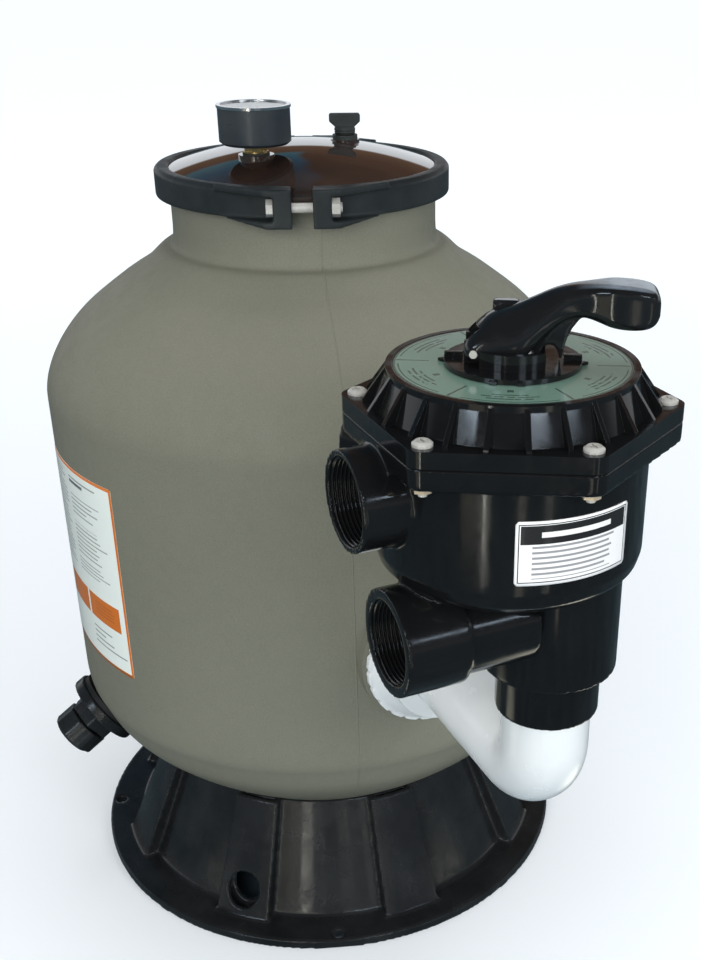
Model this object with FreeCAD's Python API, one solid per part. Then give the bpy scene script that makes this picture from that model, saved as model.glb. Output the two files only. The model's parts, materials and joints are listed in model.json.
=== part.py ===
import FreeCAD, Part
import math
import os
from FreeCAD import Vector

# Sand filter: a blow-moulded tank on a skirt, with a clamped lid and a side-mounted valve.
# Millimetres. The tank axis is Z and the skirt stands on z = 0.
# Valve parts are drawn in a valve frame, with the valve on the -Y side of the tank,
# and are then turned about Z by VALVE_TURN. Drain parts are drawn along +Z from the
# origin and are then laid on the drain axis, which points out of the tank.

os.makedirs("parts", exist_ok=True)

ORIGIN = Vector(0, 0, 0)
X_AXIS = Vector(1, 0, 0)
Y_AXIS = Vector(0, 1, 0)
Z_AXIS = Vector(0, 0, 1)

# ---------------- driving dimensions ----------------
# Tank
TANK_R = 203.0
WALL = 4.0
SHELL_BOTTOM = 30.0
STRAIGHT_LOW, STRAIGHT_HIGH = 193.0, 418.0  # straight wall of the tank
NECK_R, MOUTH_R = 98.0, 92.0                # neck outside and inside
MOUTH_Z = 536.0                             # foot of the straight mouth
LIP_R, LIP_LOW, LIP_HIGH = 103.5, 562.0, 569.0
PAD_FACE = -207.0                           # y of the two flat pads
UPPER_PAD_DEPTH, LOWER_PAD_DEPTH = 22.0, 17.0

# Shanks that pass through the tank wall
UPPER_SHANK_R, LOWER_SHANK_R, DRAIN_SHANK_R = 24.0, 30.0, 15.0
HOLE_PLAY, NUT_PLAY = 0.1, 0.05

# Skirt
FLANGE_R, FLANGE_T = 204.0, 8.0
SKIRT_TOP, SKIRT_T = 99.0, 4.0
RAISED_LOW_R, RAISED_HIGH_R = 187.0, 145.0
RECESS_LOW_R, RECESS_HIGH_R = 175.0, 136.0
FIRST_PANEL = -115.2                        # degrees
PANELS = 8
PANEL_STEP = 360 / PANELS

# Lid and clamp
LID_BASE, LID_STEP, LID_TOP, LID_T = 569.1, 575.0, 594.0, 5.0
LID_SPHERE_R = 305.0
LID_CENTRE_Z = LID_TOP - LID_SPHERE_R
GAUGE_X, GAUGE_Y = -32.0, -42.0
RELIEF_X, RELIEF_Y = 32.0, 8.0
GAUGE_SEAT, RELIEF_SEAT = 591.5, 593.8
CLAMP_R, CLAMP_LOW, CLAMP_HIGH = 108.0, 559.0, 579.5
CLAMP_TURN = -0.8                           # degrees, split plane from the Y axis
SPLIT = 7.0                                 # half of the gap between the clamp halves
LUG_WALL = 19.5                             # x of the inner face of the lug end wall
BOLT_Y, BOLT_Z = 112.6, 568.0

# Valve, in the valve frame
VALVE_TURN = 19.5                           # degrees
HEAD = Vector(-21.5, -366.0, 0)             # head axis
TUBE_X, TUBE_Y = 8.5, -366.0                # lower tube axis
UPPER_Z, LOWER_Z = 440.0, 267.0             # axes of the two tank connections
SCREW_CIRCLE_R = 80.4
CORNER_R = 8.4
PLATE_BOTTOM, SEAM, PLATE_TOP = 497.2, 508.7, 517.5
CHAMBER_R, CHAMBER_BORE_R = 73.0, 67.0
CHAMBER_BOTTOM, CHAMBER_FLOOR = 425.0, 434.0
COVER_TOP = 536.5
TUBE_R, TUBE_LOW = 39.7, 352.0
COLLAR_R, COLLAR_LOW = 31.0, 321.0
THREAD_R = 22.42                            # G 1-1/2 female minor radius
MALE_THREAD_R = THREAD_R - 0.02
BODY_BORE_R = 20.0
HIGH_PORT_Z, LOW_PORT_Z, LOW_PORT_Y = 476.5, 398.0, -381.0
STEM_R, STEM_HOLE_R = 11.0, 11.06
LEVER_TURN = -30.0                          # degrees, direction of the lever
LEVER_DIR_X = math.cos(math.radians(LEVER_TURN))
LEVER_DIR_Y = math.sin(math.radians(LEVER_TURN))
STEM_PIN_R, STEM_PIN_Z = 2.5, 550.5
HANDLE_PIN_R, HANDLE_PIN_X, HANDLE_PIN_Z = 2.0, -19.5, 545.5
HANDLE_HOLE_R = HANDLE_PIN_R + 0.05

# Pipes
PIPE_R, PIPE_BORE_R, BEND_R = 27.0, 20.5, 28.0
REDUCED_BORE_R = 17.5
LOWER_TAIL_Y, UPPER_TAIL_Y = -226.0, -230.0
TAIL_T = 6.0
LOWER_JOINT_Y = LOWER_TAIL_Y + TAIL_T
UPPER_JOINT_Y = UPPER_TAIL_Y + TAIL_T
TAIL_START_Y = -276.0                       # end of the valve's upper outlet
UNION_R = 33.5                              # lower union spigot
STAND_R, STAND_BORE_R = 20.45, 16.5
STAND_START_Y = -199.0
FEED_START_Y = -212.0
HUB_Z = 96.0
LATERAL_Z = HUB_Z + 6
LATERAL_ANGLES = [45 * i + 22.5 for i in range(8)]

# Drain
DRAIN_ANGLE, DRAIN_R, DRAIN_Z, DRAIN_TILT = -164.5, 192.0, 147.0, 36.0
DRAIN_BORE_R = 9.5

# Outside of the tank: (radius, z)
BOTTOM_CURVE = [
    (0, SHELL_BOTTOM), (40, 36.0), (68, 46.5), (92, 60.5), (113, 77.0), (137, 98.0),
    (161, 118.0), (180, 136.5), (192, 152.5), (199.5, 170.0), (TANK_R, STRAIGHT_LOW),
]
SHOULDER_CURVE = [
    (TANK_R, STRAIGHT_HIGH), (200.8, 431.0), (194.0, 446.0), (184.0, 460.5), (170.0, 475.0),
    (152.0, 489.0), (134.0, 501.5), (118.0, 512.0), (106.0, 522.0), (NECK_R, 538.0),
]

# Lever seen from the side: (distance along the lever, z)
LEVER_SIDE = [
    (-25.0, 545.5), (-24.6, 551.5), (-20.5, 559.5), (-14.5, 566.0), (-11.0, 568.4),
    (-2.0, 568.6), (4.0, 569.8), (10.0, 573.2), (15.0, 576.2), (20.0, 578.2),
    (26.0, 579.4), (34.0, 580.0), (45.0, 579.2), (58.0, 578.6), (66.0, 578.4),
    (69.4, 576.4), (70.6, 571.0), (70.8, 566.0), (69.6, 562.6), (66.0, 560.6),
    (58.0, 559.6), (51.0, 560.2), (44.0, 562.0), (38.0, 564.2), (34.0, 563.2),
    (30.5, 559.5), (27.6, 553.5), (25.6, 546.6), (24.6, 541.0), (-22.5, 541.0),
    (-24.4, 543.0),
]
# One edge of the lever seen from above: (distance along the lever, half width)
LEVER_EDGE = [
    (-26, 17), (8, 17), (18, 14.5), (28, 10.5), (36, 9.8), (44, 11.5), (54, 13.2),
    (64, 13.2), (70, 10.5), (72, 6),
]


# ---------------- points and solids ----------------
def polar(radius, degrees, z=0.0):
    angle = math.radians(degrees)
    return Vector(radius * math.cos(angle), radius * math.sin(angle), z)


def axis_at(z):
    return Vector(0, 0, z)


def head_at(z):
    return HEAD + axis_at(z)


def tube_at(z):
    return Vector(TUBE_X, TUBE_Y, z)


def inside_at(z):
    """Point on the vertical axis of the plumbing inside the tank."""
    return Vector(TUBE_X, 0, z)


def gauge_at(z):
    return Vector(GAUGE_X, GAUGE_Y, z)


def relief_at(z):
    return Vector(RELIEF_X, RELIEF_Y, z)


def cyl(radius, height, base=ORIGIN, axis=Z_AXIS):
    return Part.makeCylinder(radius, height, base, axis)


def ring(outer, inner, height, base=ORIGIN, axis=Z_AXIS):
    return cyl(outer, height, base, axis).cut(cyl(inner, height, base, axis))


def cone(radius1, radius2, height, base=ORIGIN, axis=Z_AXIS):
    return Part.makeCone(radius1, radius2, height, base, axis)


def y_cyl(radius, length, y, z):
    """Cylinder from y towards +Y in the plane of the lower tube."""
    return cyl(radius, length, Vector(TUBE_X, y, z), Y_AXIS)


def y_ring(outer, inner, length, y, z):
    return ring(outer, inner, length, Vector(TUBE_X, y, z), Y_AXIS)


def y_torus(radius, section_r, y, z):
    return Part.makeTorus(radius, section_r, Vector(TUBE_X, y, z), Y_AXIS)


def box(x0, y0, z0, x1, y1, z1):
    return Part.makeBox(x1 - x0, y1 - y0, z1 - z0, Vector(x0, y0, z0))


def face(points):
    return Part.Face(Part.makePolygon(points + [points[0]]))


def revolve_points(points):
    """Revolve a polygon of (radius, z) points about Z."""
    return face([Vector(x, 0, z) for x, z in points]).revolve(ORIGIN, Z_AXIS, 360)


def revolve_edges(edges):
    profile = Part.Wire(Part.__sortEdges__(edges))
    return Part.Face(profile).revolve(ORIGIN, Z_AXIS, 360)


def prism(points, z0, z1):
    return face([Vector(x, y, z0) for x, y in points]).extrude(axis_at(z1 - z0))


def side_slab(points, y, width):
    """Extrude a polygon of (x, z) points from y towards +Y."""
    return face([Vector(x, y, z) for x, z in points]).extrude(Vector(0, width, 0))


def regular_prism(count, radius, turn, z0, z1):
    corners = [polar(radius, 360 / count * i + turn) for i in range(count)]
    return prism([(c.x, c.y) for c in corners], z0, z1)


def hexagon(across_flats, height, base=ORIGIN, turn=0.0):
    return moved(regular_prism(6, across_flats / math.sqrt(3), turn, 0, height), base)


def wedge(start, end, z0, z1):
    """Sector about Z, between two angles in degrees, wider than any part."""
    steps = 6
    rim = [polar(260.0, start + (end - start) * i / steps) for i in range(steps + 1)]
    return prism([(0, 0)] + [(p.x, p.y) for p in rim], z0, z1)


def spline(points, start_tangent, end_tangent):
    curve = Part.BSplineCurve()
    curve.interpolate(
        [Vector(x, 0, z) for x, z in points],
        InitialTangent=start_tangent,
        FinalTangent=end_tangent,
    )
    return curve.toShape()


def line(start, end):
    return Part.makeLine(Vector(start[0], 0, start[1]), Vector(end[0], 0, end[1]))


def inward_offset(points, distance):
    """Shift each (radius, z) point square to the chord between its neighbours."""
    result = []
    for i, (x, z) in enumerate(points):
        before = points[max(i - 1, 0)]
        after = points[min(i + 1, len(points) - 1)]
        dx, dz = after[0] - before[0], after[1] - before[1]
        chord = math.hypot(dx, dz)
        result.append((x - distance * dz / chord, z + distance * dx / chord))
    return result


# ---------------- placing and saving ----------------
def fuse(first, *rest):
    for shape in rest:
        first = first.fuse(shape)
    return first


def moved(shape, offset):
    shape = shape.copy()
    shape.translate(offset)
    return shape


def rotate(shape, degrees, centre=ORIGIN):
    shape.rotate(centre, Z_AXIS, degrees)
    return shape


def lay(shape, origin, axis):
    """Place a solid drawn about +Z so that +Z points along axis at origin."""
    turn = FreeCAD.Rotation(Z_AXIS, axis)
    shape.Placement = FreeCAD.Placement(origin, turn).multiply(shape.Placement)
    return shape


def on_head(shape, turn=0.0):
    """Turn a solid drawn about Z and move it to the valve head axis."""
    shape = rotate(shape, turn)
    shape.translate(HEAD)
    return shape


def place_tank(shape):
    return shape


def place_valve(shape):
    return rotate(shape, VALVE_TURN)


def place_drain(shape):
    tilt = math.radians(DRAIN_TILT)
    outward = polar(math.cos(tilt), DRAIN_ANGLE, -math.sin(tilt))
    return lay(shape, polar(DRAIN_R, DRAIN_ANGLE, DRAIN_Z), outward)


def save(name, shape):
    solids = shape.Solids
    shape = solids[0] if len(solids) == 1 else Part.makeCompound(solids)
    shape.exportStep("parts/%s.step" % name)


# ---------------- tank shell ----------------
def tank_shell():
    inner_low = (TANK_R - WALL, STRAIGHT_LOW)
    inner_high = (TANK_R - WALL, STRAIGHT_HIGH)
    bottom = inward_offset(BOTTOM_CURVE, WALL)
    bottom[0] = (0, SHELL_BOTTOM + WALL)
    bottom[-1] = inner_low
    shoulder = inward_offset(SHOULDER_CURVE, WALL)
    shoulder[0] = inner_high
    shoulder[-1] = (MOUTH_R, MOUTH_Z)
    down = Z_AXIS * -1
    shell = revolve_edges([
        spline(BOTTOM_CURVE, X_AXIS, Z_AXIS),
        line(BOTTOM_CURVE[-1], SHOULDER_CURVE[0]),
        spline(SHOULDER_CURVE, Z_AXIS, Z_AXIS),
        line(SHOULDER_CURVE[-1], (NECK_R, LIP_LOW)),
        line((NECK_R, LIP_LOW), (LIP_R, LIP_LOW)),
        line((LIP_R, LIP_LOW), (LIP_R, LIP_HIGH)),
        line((LIP_R, LIP_HIGH), (MOUTH_R, LIP_HIGH)),
        line((MOUTH_R, LIP_HIGH), shoulder[-1]),
        spline(shoulder[::-1], down, down),
        line(inner_high, inner_low),
        spline(bottom[::-1], down, X_AXIS * -1),
        line(bottom[0], BOTTOM_CURVE[0]),
    ])
    if shell.Volume < 0:
        shell.reverse()
    cavity = revolve_edges([
        spline(bottom, X_AXIS, Z_AXIS),
        line(inner_low, inner_high),
        spline(shoulder, Z_AXIS, Z_AXIS),
        line(shoulder[-1], (0, MOUTH_Z)),
        line((0, MOUTH_Z), bottom[0]),
    ])

    # The upper pad stands in front of the shoulder, so a hood closes it back to the shell
    upper_pad_r = 40
    upper_pad = place_valve(y_cyl(upper_pad_r, UPPER_PAD_DEPTH, PAD_FACE, UPPER_Z))
    lower_pad = place_valve(y_cyl(55, LOWER_PAD_DEPTH, PAD_FACE, LOWER_Z))
    hood = place_valve(y_cyl(upper_pad_r, 75, PAD_FACE + 1, UPPER_Z)).cut(cavity)
    hood = hood.common(revolve_points([(0, 395), (210, 395), (210, 500), (0, 500)]))
    shell = fuse(shell, hood, upper_pad, lower_pad)
    shell = shell.cut(place_valve(y_cyl(34, 60, PAD_FACE + UPPER_PAD_DEPTH, UPPER_Z)))
    for shank_r, z in ((UPPER_SHANK_R, UPPER_Z), (LOWER_SHANK_R, LOWER_Z)):
        shell = shell.cut(place_valve(y_cyl(shank_r + HOLE_PLAY, 60, PAD_FACE - 5, z)))

    # Drain boss, its recess inside the tank and its hole
    shell = shell.fuse(place_drain(cyl(29, 9.0, axis_at(-6.0))))
    shell = shell.cut(place_drain(cyl(25.5, 14, axis_at(-20))))
    shell = shell.cut(place_drain(cyl(DRAIN_SHANK_R + HOLE_PLAY, 30, axis_at(-15))))

    seat_depth = 4.5
    return shell.cut(ring(99.6, 94.4, seat_depth, axis_at(LIP_HIGH - seat_depth)))


# ---------------- base skirt ----------------
def skirt_cone(low_r, high_r):
    start = FLANGE_T - 2
    return cone(low_r, high_r, SKIRT_TOP - start, axis_at(start))


def base_skirt():
    recess_in_low, recess_in_high = RECESS_LOW_R - SKIRT_T, RECESS_HIGH_R - SKIRT_T
    raised = skirt_cone(RAISED_LOW_R, RAISED_HIGH_R)
    raised = raised.cut(skirt_cone(RAISED_LOW_R - SKIRT_T, RAISED_HIGH_R - SKIRT_T))
    inner_cone = skirt_cone(recess_in_low, recess_in_high)
    skirt = skirt_cone(RECESS_LOW_R, RECESS_HIGH_R).cut(inner_cone)
    side = skirt_cone(RAISED_LOW_R - 0.01, RAISED_HIGH_R - 0.01).cut(inner_cone)
    outer, inner = 7.4, 6.2  # degrees from the panel centre to the faces of its side wall
    for i in range(PANELS):
        middle = FIRST_PANEL + PANEL_STEP * i
        skirt = fuse(
            skirt,
            raised.common(wedge(middle - outer, middle + outer, 0, 120)),
            side.common(wedge(middle - outer, middle - inner, 0, 120)),
            side.common(wedge(middle + inner, middle + outer, 0, 120)),
        )
    skirt = fuse(skirt, ring(FLANGE_R, recess_in_low - 6, FLANGE_T))

    # Radial ribs that carry the tank bottom, midway between the raised panels
    rib_end = RECESS_LOW_R - 2
    for i in range(PANELS):
        rib = prism([(60, -2), (rib_end, -2), (rib_end, 2), (60, 2)], 0.0, 98.0)
        rib = rotate(rib, FIRST_PANEL + PANEL_STEP * (i + 0.5))
        skirt = skirt.fuse(rib.common(cone(rib_end, RECESS_HIGH_R - 2, SKIRT_TOP)))
    skirt = skirt.fuse(ring(72, 66, 40))

    skirt = skirt.cut(revolve_edges([
        spline(BOTTOM_CURVE, X_AXIS, Z_AXIS),
        line(BOTTOM_CURVE[-1], (0, STRAIGHT_LOW)),
        line((0, STRAIGHT_LOW), BOTTOM_CURVE[0]),
    ]))
    side_hole = -115.6
    skirt = skirt.cut(cyl(14.0, 60, polar(150, side_hole, 28), polar(1, side_hole)))
    for i in range(4):
        skirt = skirt.cut(cyl(4.5, 20, polar(195.5, 90 * i, -5)))
    return skirt


# ---------------- lid ----------------
def lid_dome():
    skirt_r, bore_r = 97.2, 91.4
    inner_sphere_r = LID_SPHERE_R - LID_T

    def dome(radius, sphere_r):
        return radius, LID_CENTRE_Z + math.sqrt(sphere_r * sphere_r - radius * radius)

    def arc(*points):
        return Part.Arc(*[Vector(x, 0, z) for x, z in points]).toShape()

    top, underside = (0, LID_TOP), (0, LID_TOP - LID_T)
    rim = [
        dome(skirt_r, LID_SPHERE_R), (skirt_r, LID_STEP), (LIP_R, LID_STEP),
        (LIP_R, LID_BASE), (bore_r, LID_BASE), dome(bore_r, inner_sphere_r),
    ]
    edges = [arc(top, dome(50, LID_SPHERE_R), rim[0])]
    edges += [line(start, end) for start, end in zip(rim, rim[1:])]
    edges += [arc(rim[-1], dome(50, inner_sphere_r), underside), line(underside, top)]
    lid = revolve_edges(edges)
    lid = fuse(lid, cyl(12.5, 10.5, gauge_at(581.0)), cyl(10.6, 9.4, relief_at(584.4)))
    return lid.cut(cyl(6.6, 30, gauge_at(575))).cut(cyl(8.1, 30, relief_at(575)))


def lid_oring():
    return Part.makeTorus(97.0, 2.2, axis_at(LIP_HIGH - 2.25))


# ---------------- pressure gauge ----------------
def gauge_stem():
    stem = fuse(
        cyl(6.5, 20.0, gauge_at(573.0)),
        hexagon(14.0, 5.8, gauge_at(GAUGE_SEAT + 1.2), 10),
        cyl(8.6, 1.2, gauge_at(GAUGE_SEAT + 1.0)),
        cyl(4.5, 3.4, gauge_at(598.5)),
    )
    return stem.cut(cyl(1.6, 26, gauge_at(572)))


def gauge_seal():
    return ring(9.5, 6.55, 1.0, gauge_at(GAUGE_SEAT))


def gauge_locknut():
    return hexagon(19.0, 5.0, gauge_at(576.0), 5).cut(cyl(6.55, 10, gauge_at(574)))


def gauge_case():
    case = fuse(cyl(25, 22.4, gauge_at(600.5)), cone(22.5, 25, 2.0, gauge_at(598.5)))
    return case.cut(cyl(23.6, 30, gauge_at(601.0))).cut(cyl(4.5, 5, gauge_at(597)))


def gauge_bezel():
    return ring(25.7, 23.65, 1.1, gauge_at(622.9)).fuse(ring(25.7, 22.9, 0.9, gauge_at(623.9)))


def gauge_glass():
    return cyl(23.55, 1.75, gauge_at(622.1))


def gauge_dial():
    return ring(23.5, 1.6, 0.8, gauge_at(612.0))


def gauge_movement():
    x, y = GAUGE_X, GAUGE_Y
    movement = fuse(
        cyl(1.1, 4.0, gauge_at(611.0)),
        box(x - 6, y - 9, 606.0, x + 6, y + 6, 611.0),
        box(x - 2, y - 3, 601.9, x + 2, y + 3, 606.0),
    )
    curved_tube = Part.makeTorus(14.0, 2.0, gauge_at(606.0), Z_AXIS, -180, 180, 270)
    curved_tube = rotate(curved_tube, -50, gauge_at(0))
    link = box(x + 4, y - 1.2, 605.2, x + 14.5, y + 1.2, 606.8)
    return fuse(movement, rotate(link, 220, gauge_at(0)), curved_tube)


def gauge_needle():
    pointer = [(-7, -1.2), (0, -1.5), (17.5, -0.35), (17.5, 0.35), (0, 1.5), (-7, 1.2)]
    needle = ring(3.0, 1.15, 1.4, gauge_at(613.4))
    needle = needle.fuse(moved(prism(pointer, 613.6, 614.3), gauge_at(0)))
    return rotate(needle.cut(cyl(1.15, 5, gauge_at(612))), 222, gauge_at(0))


# ---------------- air relief ----------------
def relief_body():
    body = fuse(cyl(8.0, 19.8, relief_at(576.0)), cyl(9.2, 3.0, relief_at(RELIEF_SEAT)))
    return body.cut(cyl(5.0, 40, relief_at(570)))


def relief_locknut():
    return hexagon(24.0, 5.5, relief_at(578.8), 12).cut(cyl(8.05, 10, relief_at(576)))


def relief_knob():
    knob = fuse(cyl(4.95, 15.0, relief_at(583.0)), cyl(7.1, 4.5, relief_at(598.0)))
    for i in range(3):
        knob = knob.fuse(cyl(7.8, 0.7, relief_at(598.2 + 1.3 * i)))
    wing = side_slab([
        (-7.2, 602.4), (7.2, 602.4), (11.3, 606.0), (11.4, 610.6), (10.4, 611.6),
        (-10.4, 611.6), (-11.4, 610.6), (-11.3, 606.0),
    ], -3, 6)
    return knob.fuse(moved(wing, relief_at(0))).removeSplitter()


def relief_oring():
    # Flattened where it meets the body and the knob
    x, y = RELIEF_X, RELIEF_Y
    between = box(x - 20, y - 20, RELIEF_SEAT + 3.0, x + 20, y + 20, 597.95)
    return Part.makeTorus(6.45, 1.0, relief_at(597.8)).common(between)


# ---------------- clamp ring, two halves ----------------
def clamp_lug(side, end):
    """End wall beside the split with a tapered, pocketed arm; side is +-X, end is +-Y."""
    lug = prism([
        (SPLIT, 103.0), (SPLIT, 119.0), (LUG_WALL, 119.0), (26.0, 117.8), (59.0, 92.5),
        (56.0, 87.5),
    ], 555.0, 580.5)
    lug = lug.cut(cyl(104.0, 40, axis_at(550)))
    lug = lug.cut(side_slab([(24, 554.0), (24, 555.0), (62, 560.4), (62, 554.0)], 60, 65))
    pocket = box(LUG_WALL, 60, 559.6, 66, 125, 576.0).cut(cyl(CLAMP_R, 40, axis_at(550)))
    lug = lug.cut(pocket)
    if side < 0:
        lug = lug.mirror(ORIGIN, X_AXIS)
    if end < 0:
        lug = lug.mirror(ORIGIN, Y_AXIS)
    return lug


def clamp_half(side):
    inner_r, top_r = 98.6, 97.5
    groove_r, groove_low, groove_high = LIP_R + 0.2, LIP_LOW - 0.1, LID_STEP + 0.1
    half = revolve_points([
        (inner_r, CLAMP_LOW), (CLAMP_R - 0.8, CLAMP_LOW), (CLAMP_R, CLAMP_LOW + 1.0),
        (CLAMP_R, CLAMP_HIGH - 2.5), (CLAMP_R - 2.5, CLAMP_HIGH), (top_r, CLAMP_HIGH),
        (top_r, groove_high), (groove_r, groove_high), (groove_r, groove_low),
        (inner_r, groove_low),
    ])
    x0, x1 = (SPLIT, 130) if side > 0 else (-130, -SPLIT)
    half = half.common(box(x0, -130, 550, x1, 130, 590))
    half = fuse(half, clamp_lug(side, -1), clamp_lug(side, 1))
    recess = 13
    recess_x = LUG_WALL if side > 0 else -LUG_WALL - recess
    for end in (-1, 1):
        y = end * BOLT_Y
        half = half.cut(cyl(3.3, 80, Vector(-40, y, BOLT_Z), X_AXIS))
        half = half.cut(cyl(6.6, recess, Vector(recess_x, y, BOLT_Z), X_AXIS))
    return rotate(half.removeSplitter(), CLAMP_TURN)


def clamp_half_left():
    return clamp_half(-1)


def clamp_half_right():
    return clamp_half(1)


def clamp_bolts():
    bolts = []
    head_t = 4.4
    for y in (-BOLT_Y, BOLT_Y):
        bolt = cyl(3.2, 46.0, Vector(-LUG_WALL, y, BOLT_Z), X_AXIS)
        head = lay(hexagon(10.0, head_t), Vector(-LUG_WALL - head_t, y, BOLT_Z), X_AXIS)
        bolts.append(rotate(bolt.fuse(head), CLAMP_TURN))
    return Part.makeCompound(bolts)


def clamp_nuts():
    nuts = []
    for y in (-BOLT_Y, BOLT_Y):
        nut = lay(hexagon(11.0, 5.6), Vector(LUG_WALL, y, BOLT_Z), X_AXIS)
        nut = nut.cut(cyl(3.25, 20, Vector(15, y, BOLT_Z), X_AXIS))
        nuts.append(rotate(nut, CLAMP_TURN))
    return Part.makeCompound(nuts)


# ---------------- valve body ----------------
SCREW_SPOTS = [HEAD + polar(SCREW_CIRCLE_R, 30 + 60 * i) for i in range(6)]


def hex_plate(z0, z1):
    """Hexagonal plate with its corners rounded about the cover screws."""
    plate = prism([(spot.x, spot.y) for spot in SCREW_SPOTS], z0, z1)
    for i, start in enumerate(SCREW_SPOTS):
        end = SCREW_SPOTS[(i + 1) % 6]
        plate = plate.fuse(cyl(CORNER_R, z1 - z0, start + axis_at(z0)))
        along = (end - start).normalize()
        outward = Vector(along.y, -along.x, 0) * CORNER_R
        strip = [(p.x, p.y) for p in (start, end, end + outward, start + outward)]
        plate = plate.fuse(prism(strip, z0, z1))
    return plate.removeSplitter()


def valve_body():
    body = on_head(revolve_points([
        (0, CHAMBER_BOTTOM), (CHAMBER_R - 14, CHAMBER_BOTTOM),
        (CHAMBER_R - 7, CHAMBER_BOTTOM + 1.9), (CHAMBER_R - 1.9, CHAMBER_BOTTOM + 7),
        (CHAMBER_R, CHAMBER_BOTTOM + 14), (CHAMBER_R, SEAM), (0, SEAM),
    ]))
    body = body.fuse(hex_plate(PLATE_BOTTOM, SEAM))
    for spot in SCREW_SPOTS:
        body = body.fuse(cyl(CORNER_R - 0.5, 6, spot + axis_at(PLATE_BOTTOM)))

    # Two high ports run in towards the head axis, the low port runs in along +X
    port_x, port_y, port_z = -101, LOW_PORT_Y, LOW_PORT_Z
    ports = [  # mouth, inward direction, bore depth
        (head_at(HIGH_PORT_Z) - inward * 95, inward, 60)
        for inward in (X_AXIS, polar(1, 120) * -1)
    ]
    for mouth, inward, _ in ports:
        body = body.fuse(cyl(27.0, 60, mouth, inward))
    ports.append((Vector(port_x, port_y, port_z), X_AXIS, 40))
    body = fuse(body, cyl(TUBE_R, 90, tube_at(TUBE_LOW)), cyl(COLLAR_R, 40, tube_at(COLLAR_LOW)))
    above_slope = side_slab([
        (-76, port_z + 29.2), (4, port_z + 1.3), (4, port_z + 40), (-76, port_z + 40),
    ], -440, 120)
    low_neck = cyl(26.5, 45, Vector(-66, port_y, port_z), X_AXIS).cut(above_slope)
    body = fuse(body, cyl(30.0, 37, ports[2][0], X_AXIS), low_neck)
    body = fuse(body, y_cyl(28.0, TAIL_START_Y - TUBE_Y, TUBE_Y, UPPER_Z))

    # Chamber and bores
    body = body.cut(cyl(CHAMBER_BORE_R, 80, head_at(CHAMBER_FLOOR)))
    for mouth, inward, depth in ports:
        body = body.cut(cyl(THREAD_R, 26, mouth, inward))
        body = body.cut(cyl(BODY_BORE_R, depth, mouth, inward))
    body = body.cut(box(-62, port_y - 9, port_z - 17, -17, port_y + 15, port_z + 5))
    body = body.cut(cyl(32, 50, tube_at(370))).cut(cyl(BODY_BORE_R, 60, tube_at(320)))
    body = body.cut(cyl(THREAD_R, 25, tube_at(COLLAR_LOW)))
    body = body.cut(cyl(12, 30, tube_at(410) + X_AXIS * 8))
    body = body.cut(y_cyl(THREAD_R, 25, TUBE_Y + 66, UPPER_Z))
    body = body.cut(y_cyl(19, 60, TUBE_Y + 10, UPPER_Z))
    for mouth, inward, _ in ports:
        body = body.cut(cone(24.2, THREAD_R, 1.8, mouth, inward))

    for spot in SCREW_SPOTS:
        body = body.cut(cyl(2.4, 40, spot + axis_at(PLATE_BOTTOM - 10)))
    groove_depth = 2.6
    body = body.cut(ring(72.4, 68.6, groove_depth, head_at(SEAM - groove_depth)))
    return body.removeSplitter()


# ---------------- valve cover ----------------
def cover_oring():
    return Part.makeTorus(70.5, 1.28, head_at(SEAM - 1.3))


def valve_cover():
    cover = fuse(
        hex_plate(SEAM, PLATE_TOP),
        cone(71.5, 64.2, COVER_TOP - PLATE_TOP + 0.5, head_at(PLATE_TOP - 0.5)),
        cyl(65.4, 4.0, head_at(COVER_TOP - 4.0)),
    )
    rib_low, rib_high = PLATE_TOP - 0.5, COVER_TOP - 1.0
    for i in range(24):
        rib = side_slab([
            (55, rib_low), (77.2, rib_low), (77.2, PLATE_TOP + 1.2), (65.3, rib_high),
            (55, rib_high),
        ], -1.3, 2.6)
        cover = cover.fuse(on_head(rib, 7.5 + 15 * i))
    cover = cover.cut(cyl(61.8, 3, head_at(COVER_TOP - 1.2)))
    cavity = [(0, SEAM - 1), (62, SEAM - 1), (60, 514.0), (54, 531.0), (0, 531.0)]
    cover = cover.cut(on_head(revolve_points(cavity)))
    cover = cover.fuse(cyl(20, 22, head_at(510.0)))
    cover = cover.cut(cyl(STEM_HOLE_R, 60, head_at(490)))
    cover = cover.cut(ring(14.6, STEM_R, 3.2, head_at(516.0)))
    for spot in SCREW_SPOTS:
        cover = cover.cut(cyl(2.5, 40, spot + axis_at(PLATE_BOTTOM)))
    return cover.removeSplitter()


def stem_oring():
    return Part.makeTorus(12.8, 1.55, head_at(517.6))


def index_plate():
    return ring(61.4, 33.0, 1.0, head_at(COVER_TOP - 1.2))


def cover_screws():
    screws = []
    overhang = 5.4  # shank below the body flange
    low, high = PLATE_TOP + 1.3, PLATE_TOP + 4
    for spot in SCREW_SPOTS:
        x, y = spot.x, spot.y
        head = cyl(5.2, 1.4, spot + axis_at(PLATE_TOP))
        head = head.fuse(cone(5.2, 3.7, 1.3, spot + axis_at(PLATE_TOP + 1.4)))
        head = head.cut(box(x - 3, y - 0.5, low, x + 3, y + 0.5, high))
        head = head.cut(box(x - 0.5, y - 3, low, x + 0.5, y + 3, high))
        length = PLATE_TOP - PLATE_BOTTOM + overhang
        screws.append(head.fuse(cyl(2.3, length, spot + axis_at(PLATE_BOTTOM - overhang))))
    return Part.makeCompound(screws)


def cover_nuts():
    nuts = []
    height = 3.4
    for spot in SCREW_SPOTS:
        nut = hexagon(8.4, height, spot + axis_at(PLATE_BOTTOM - height), 12)
        nuts.append(nut.cut(cyl(2.35, 12, spot + axis_at(PLATE_BOTTOM - 8))))
    return Part.makeCompound(nuts)


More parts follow.
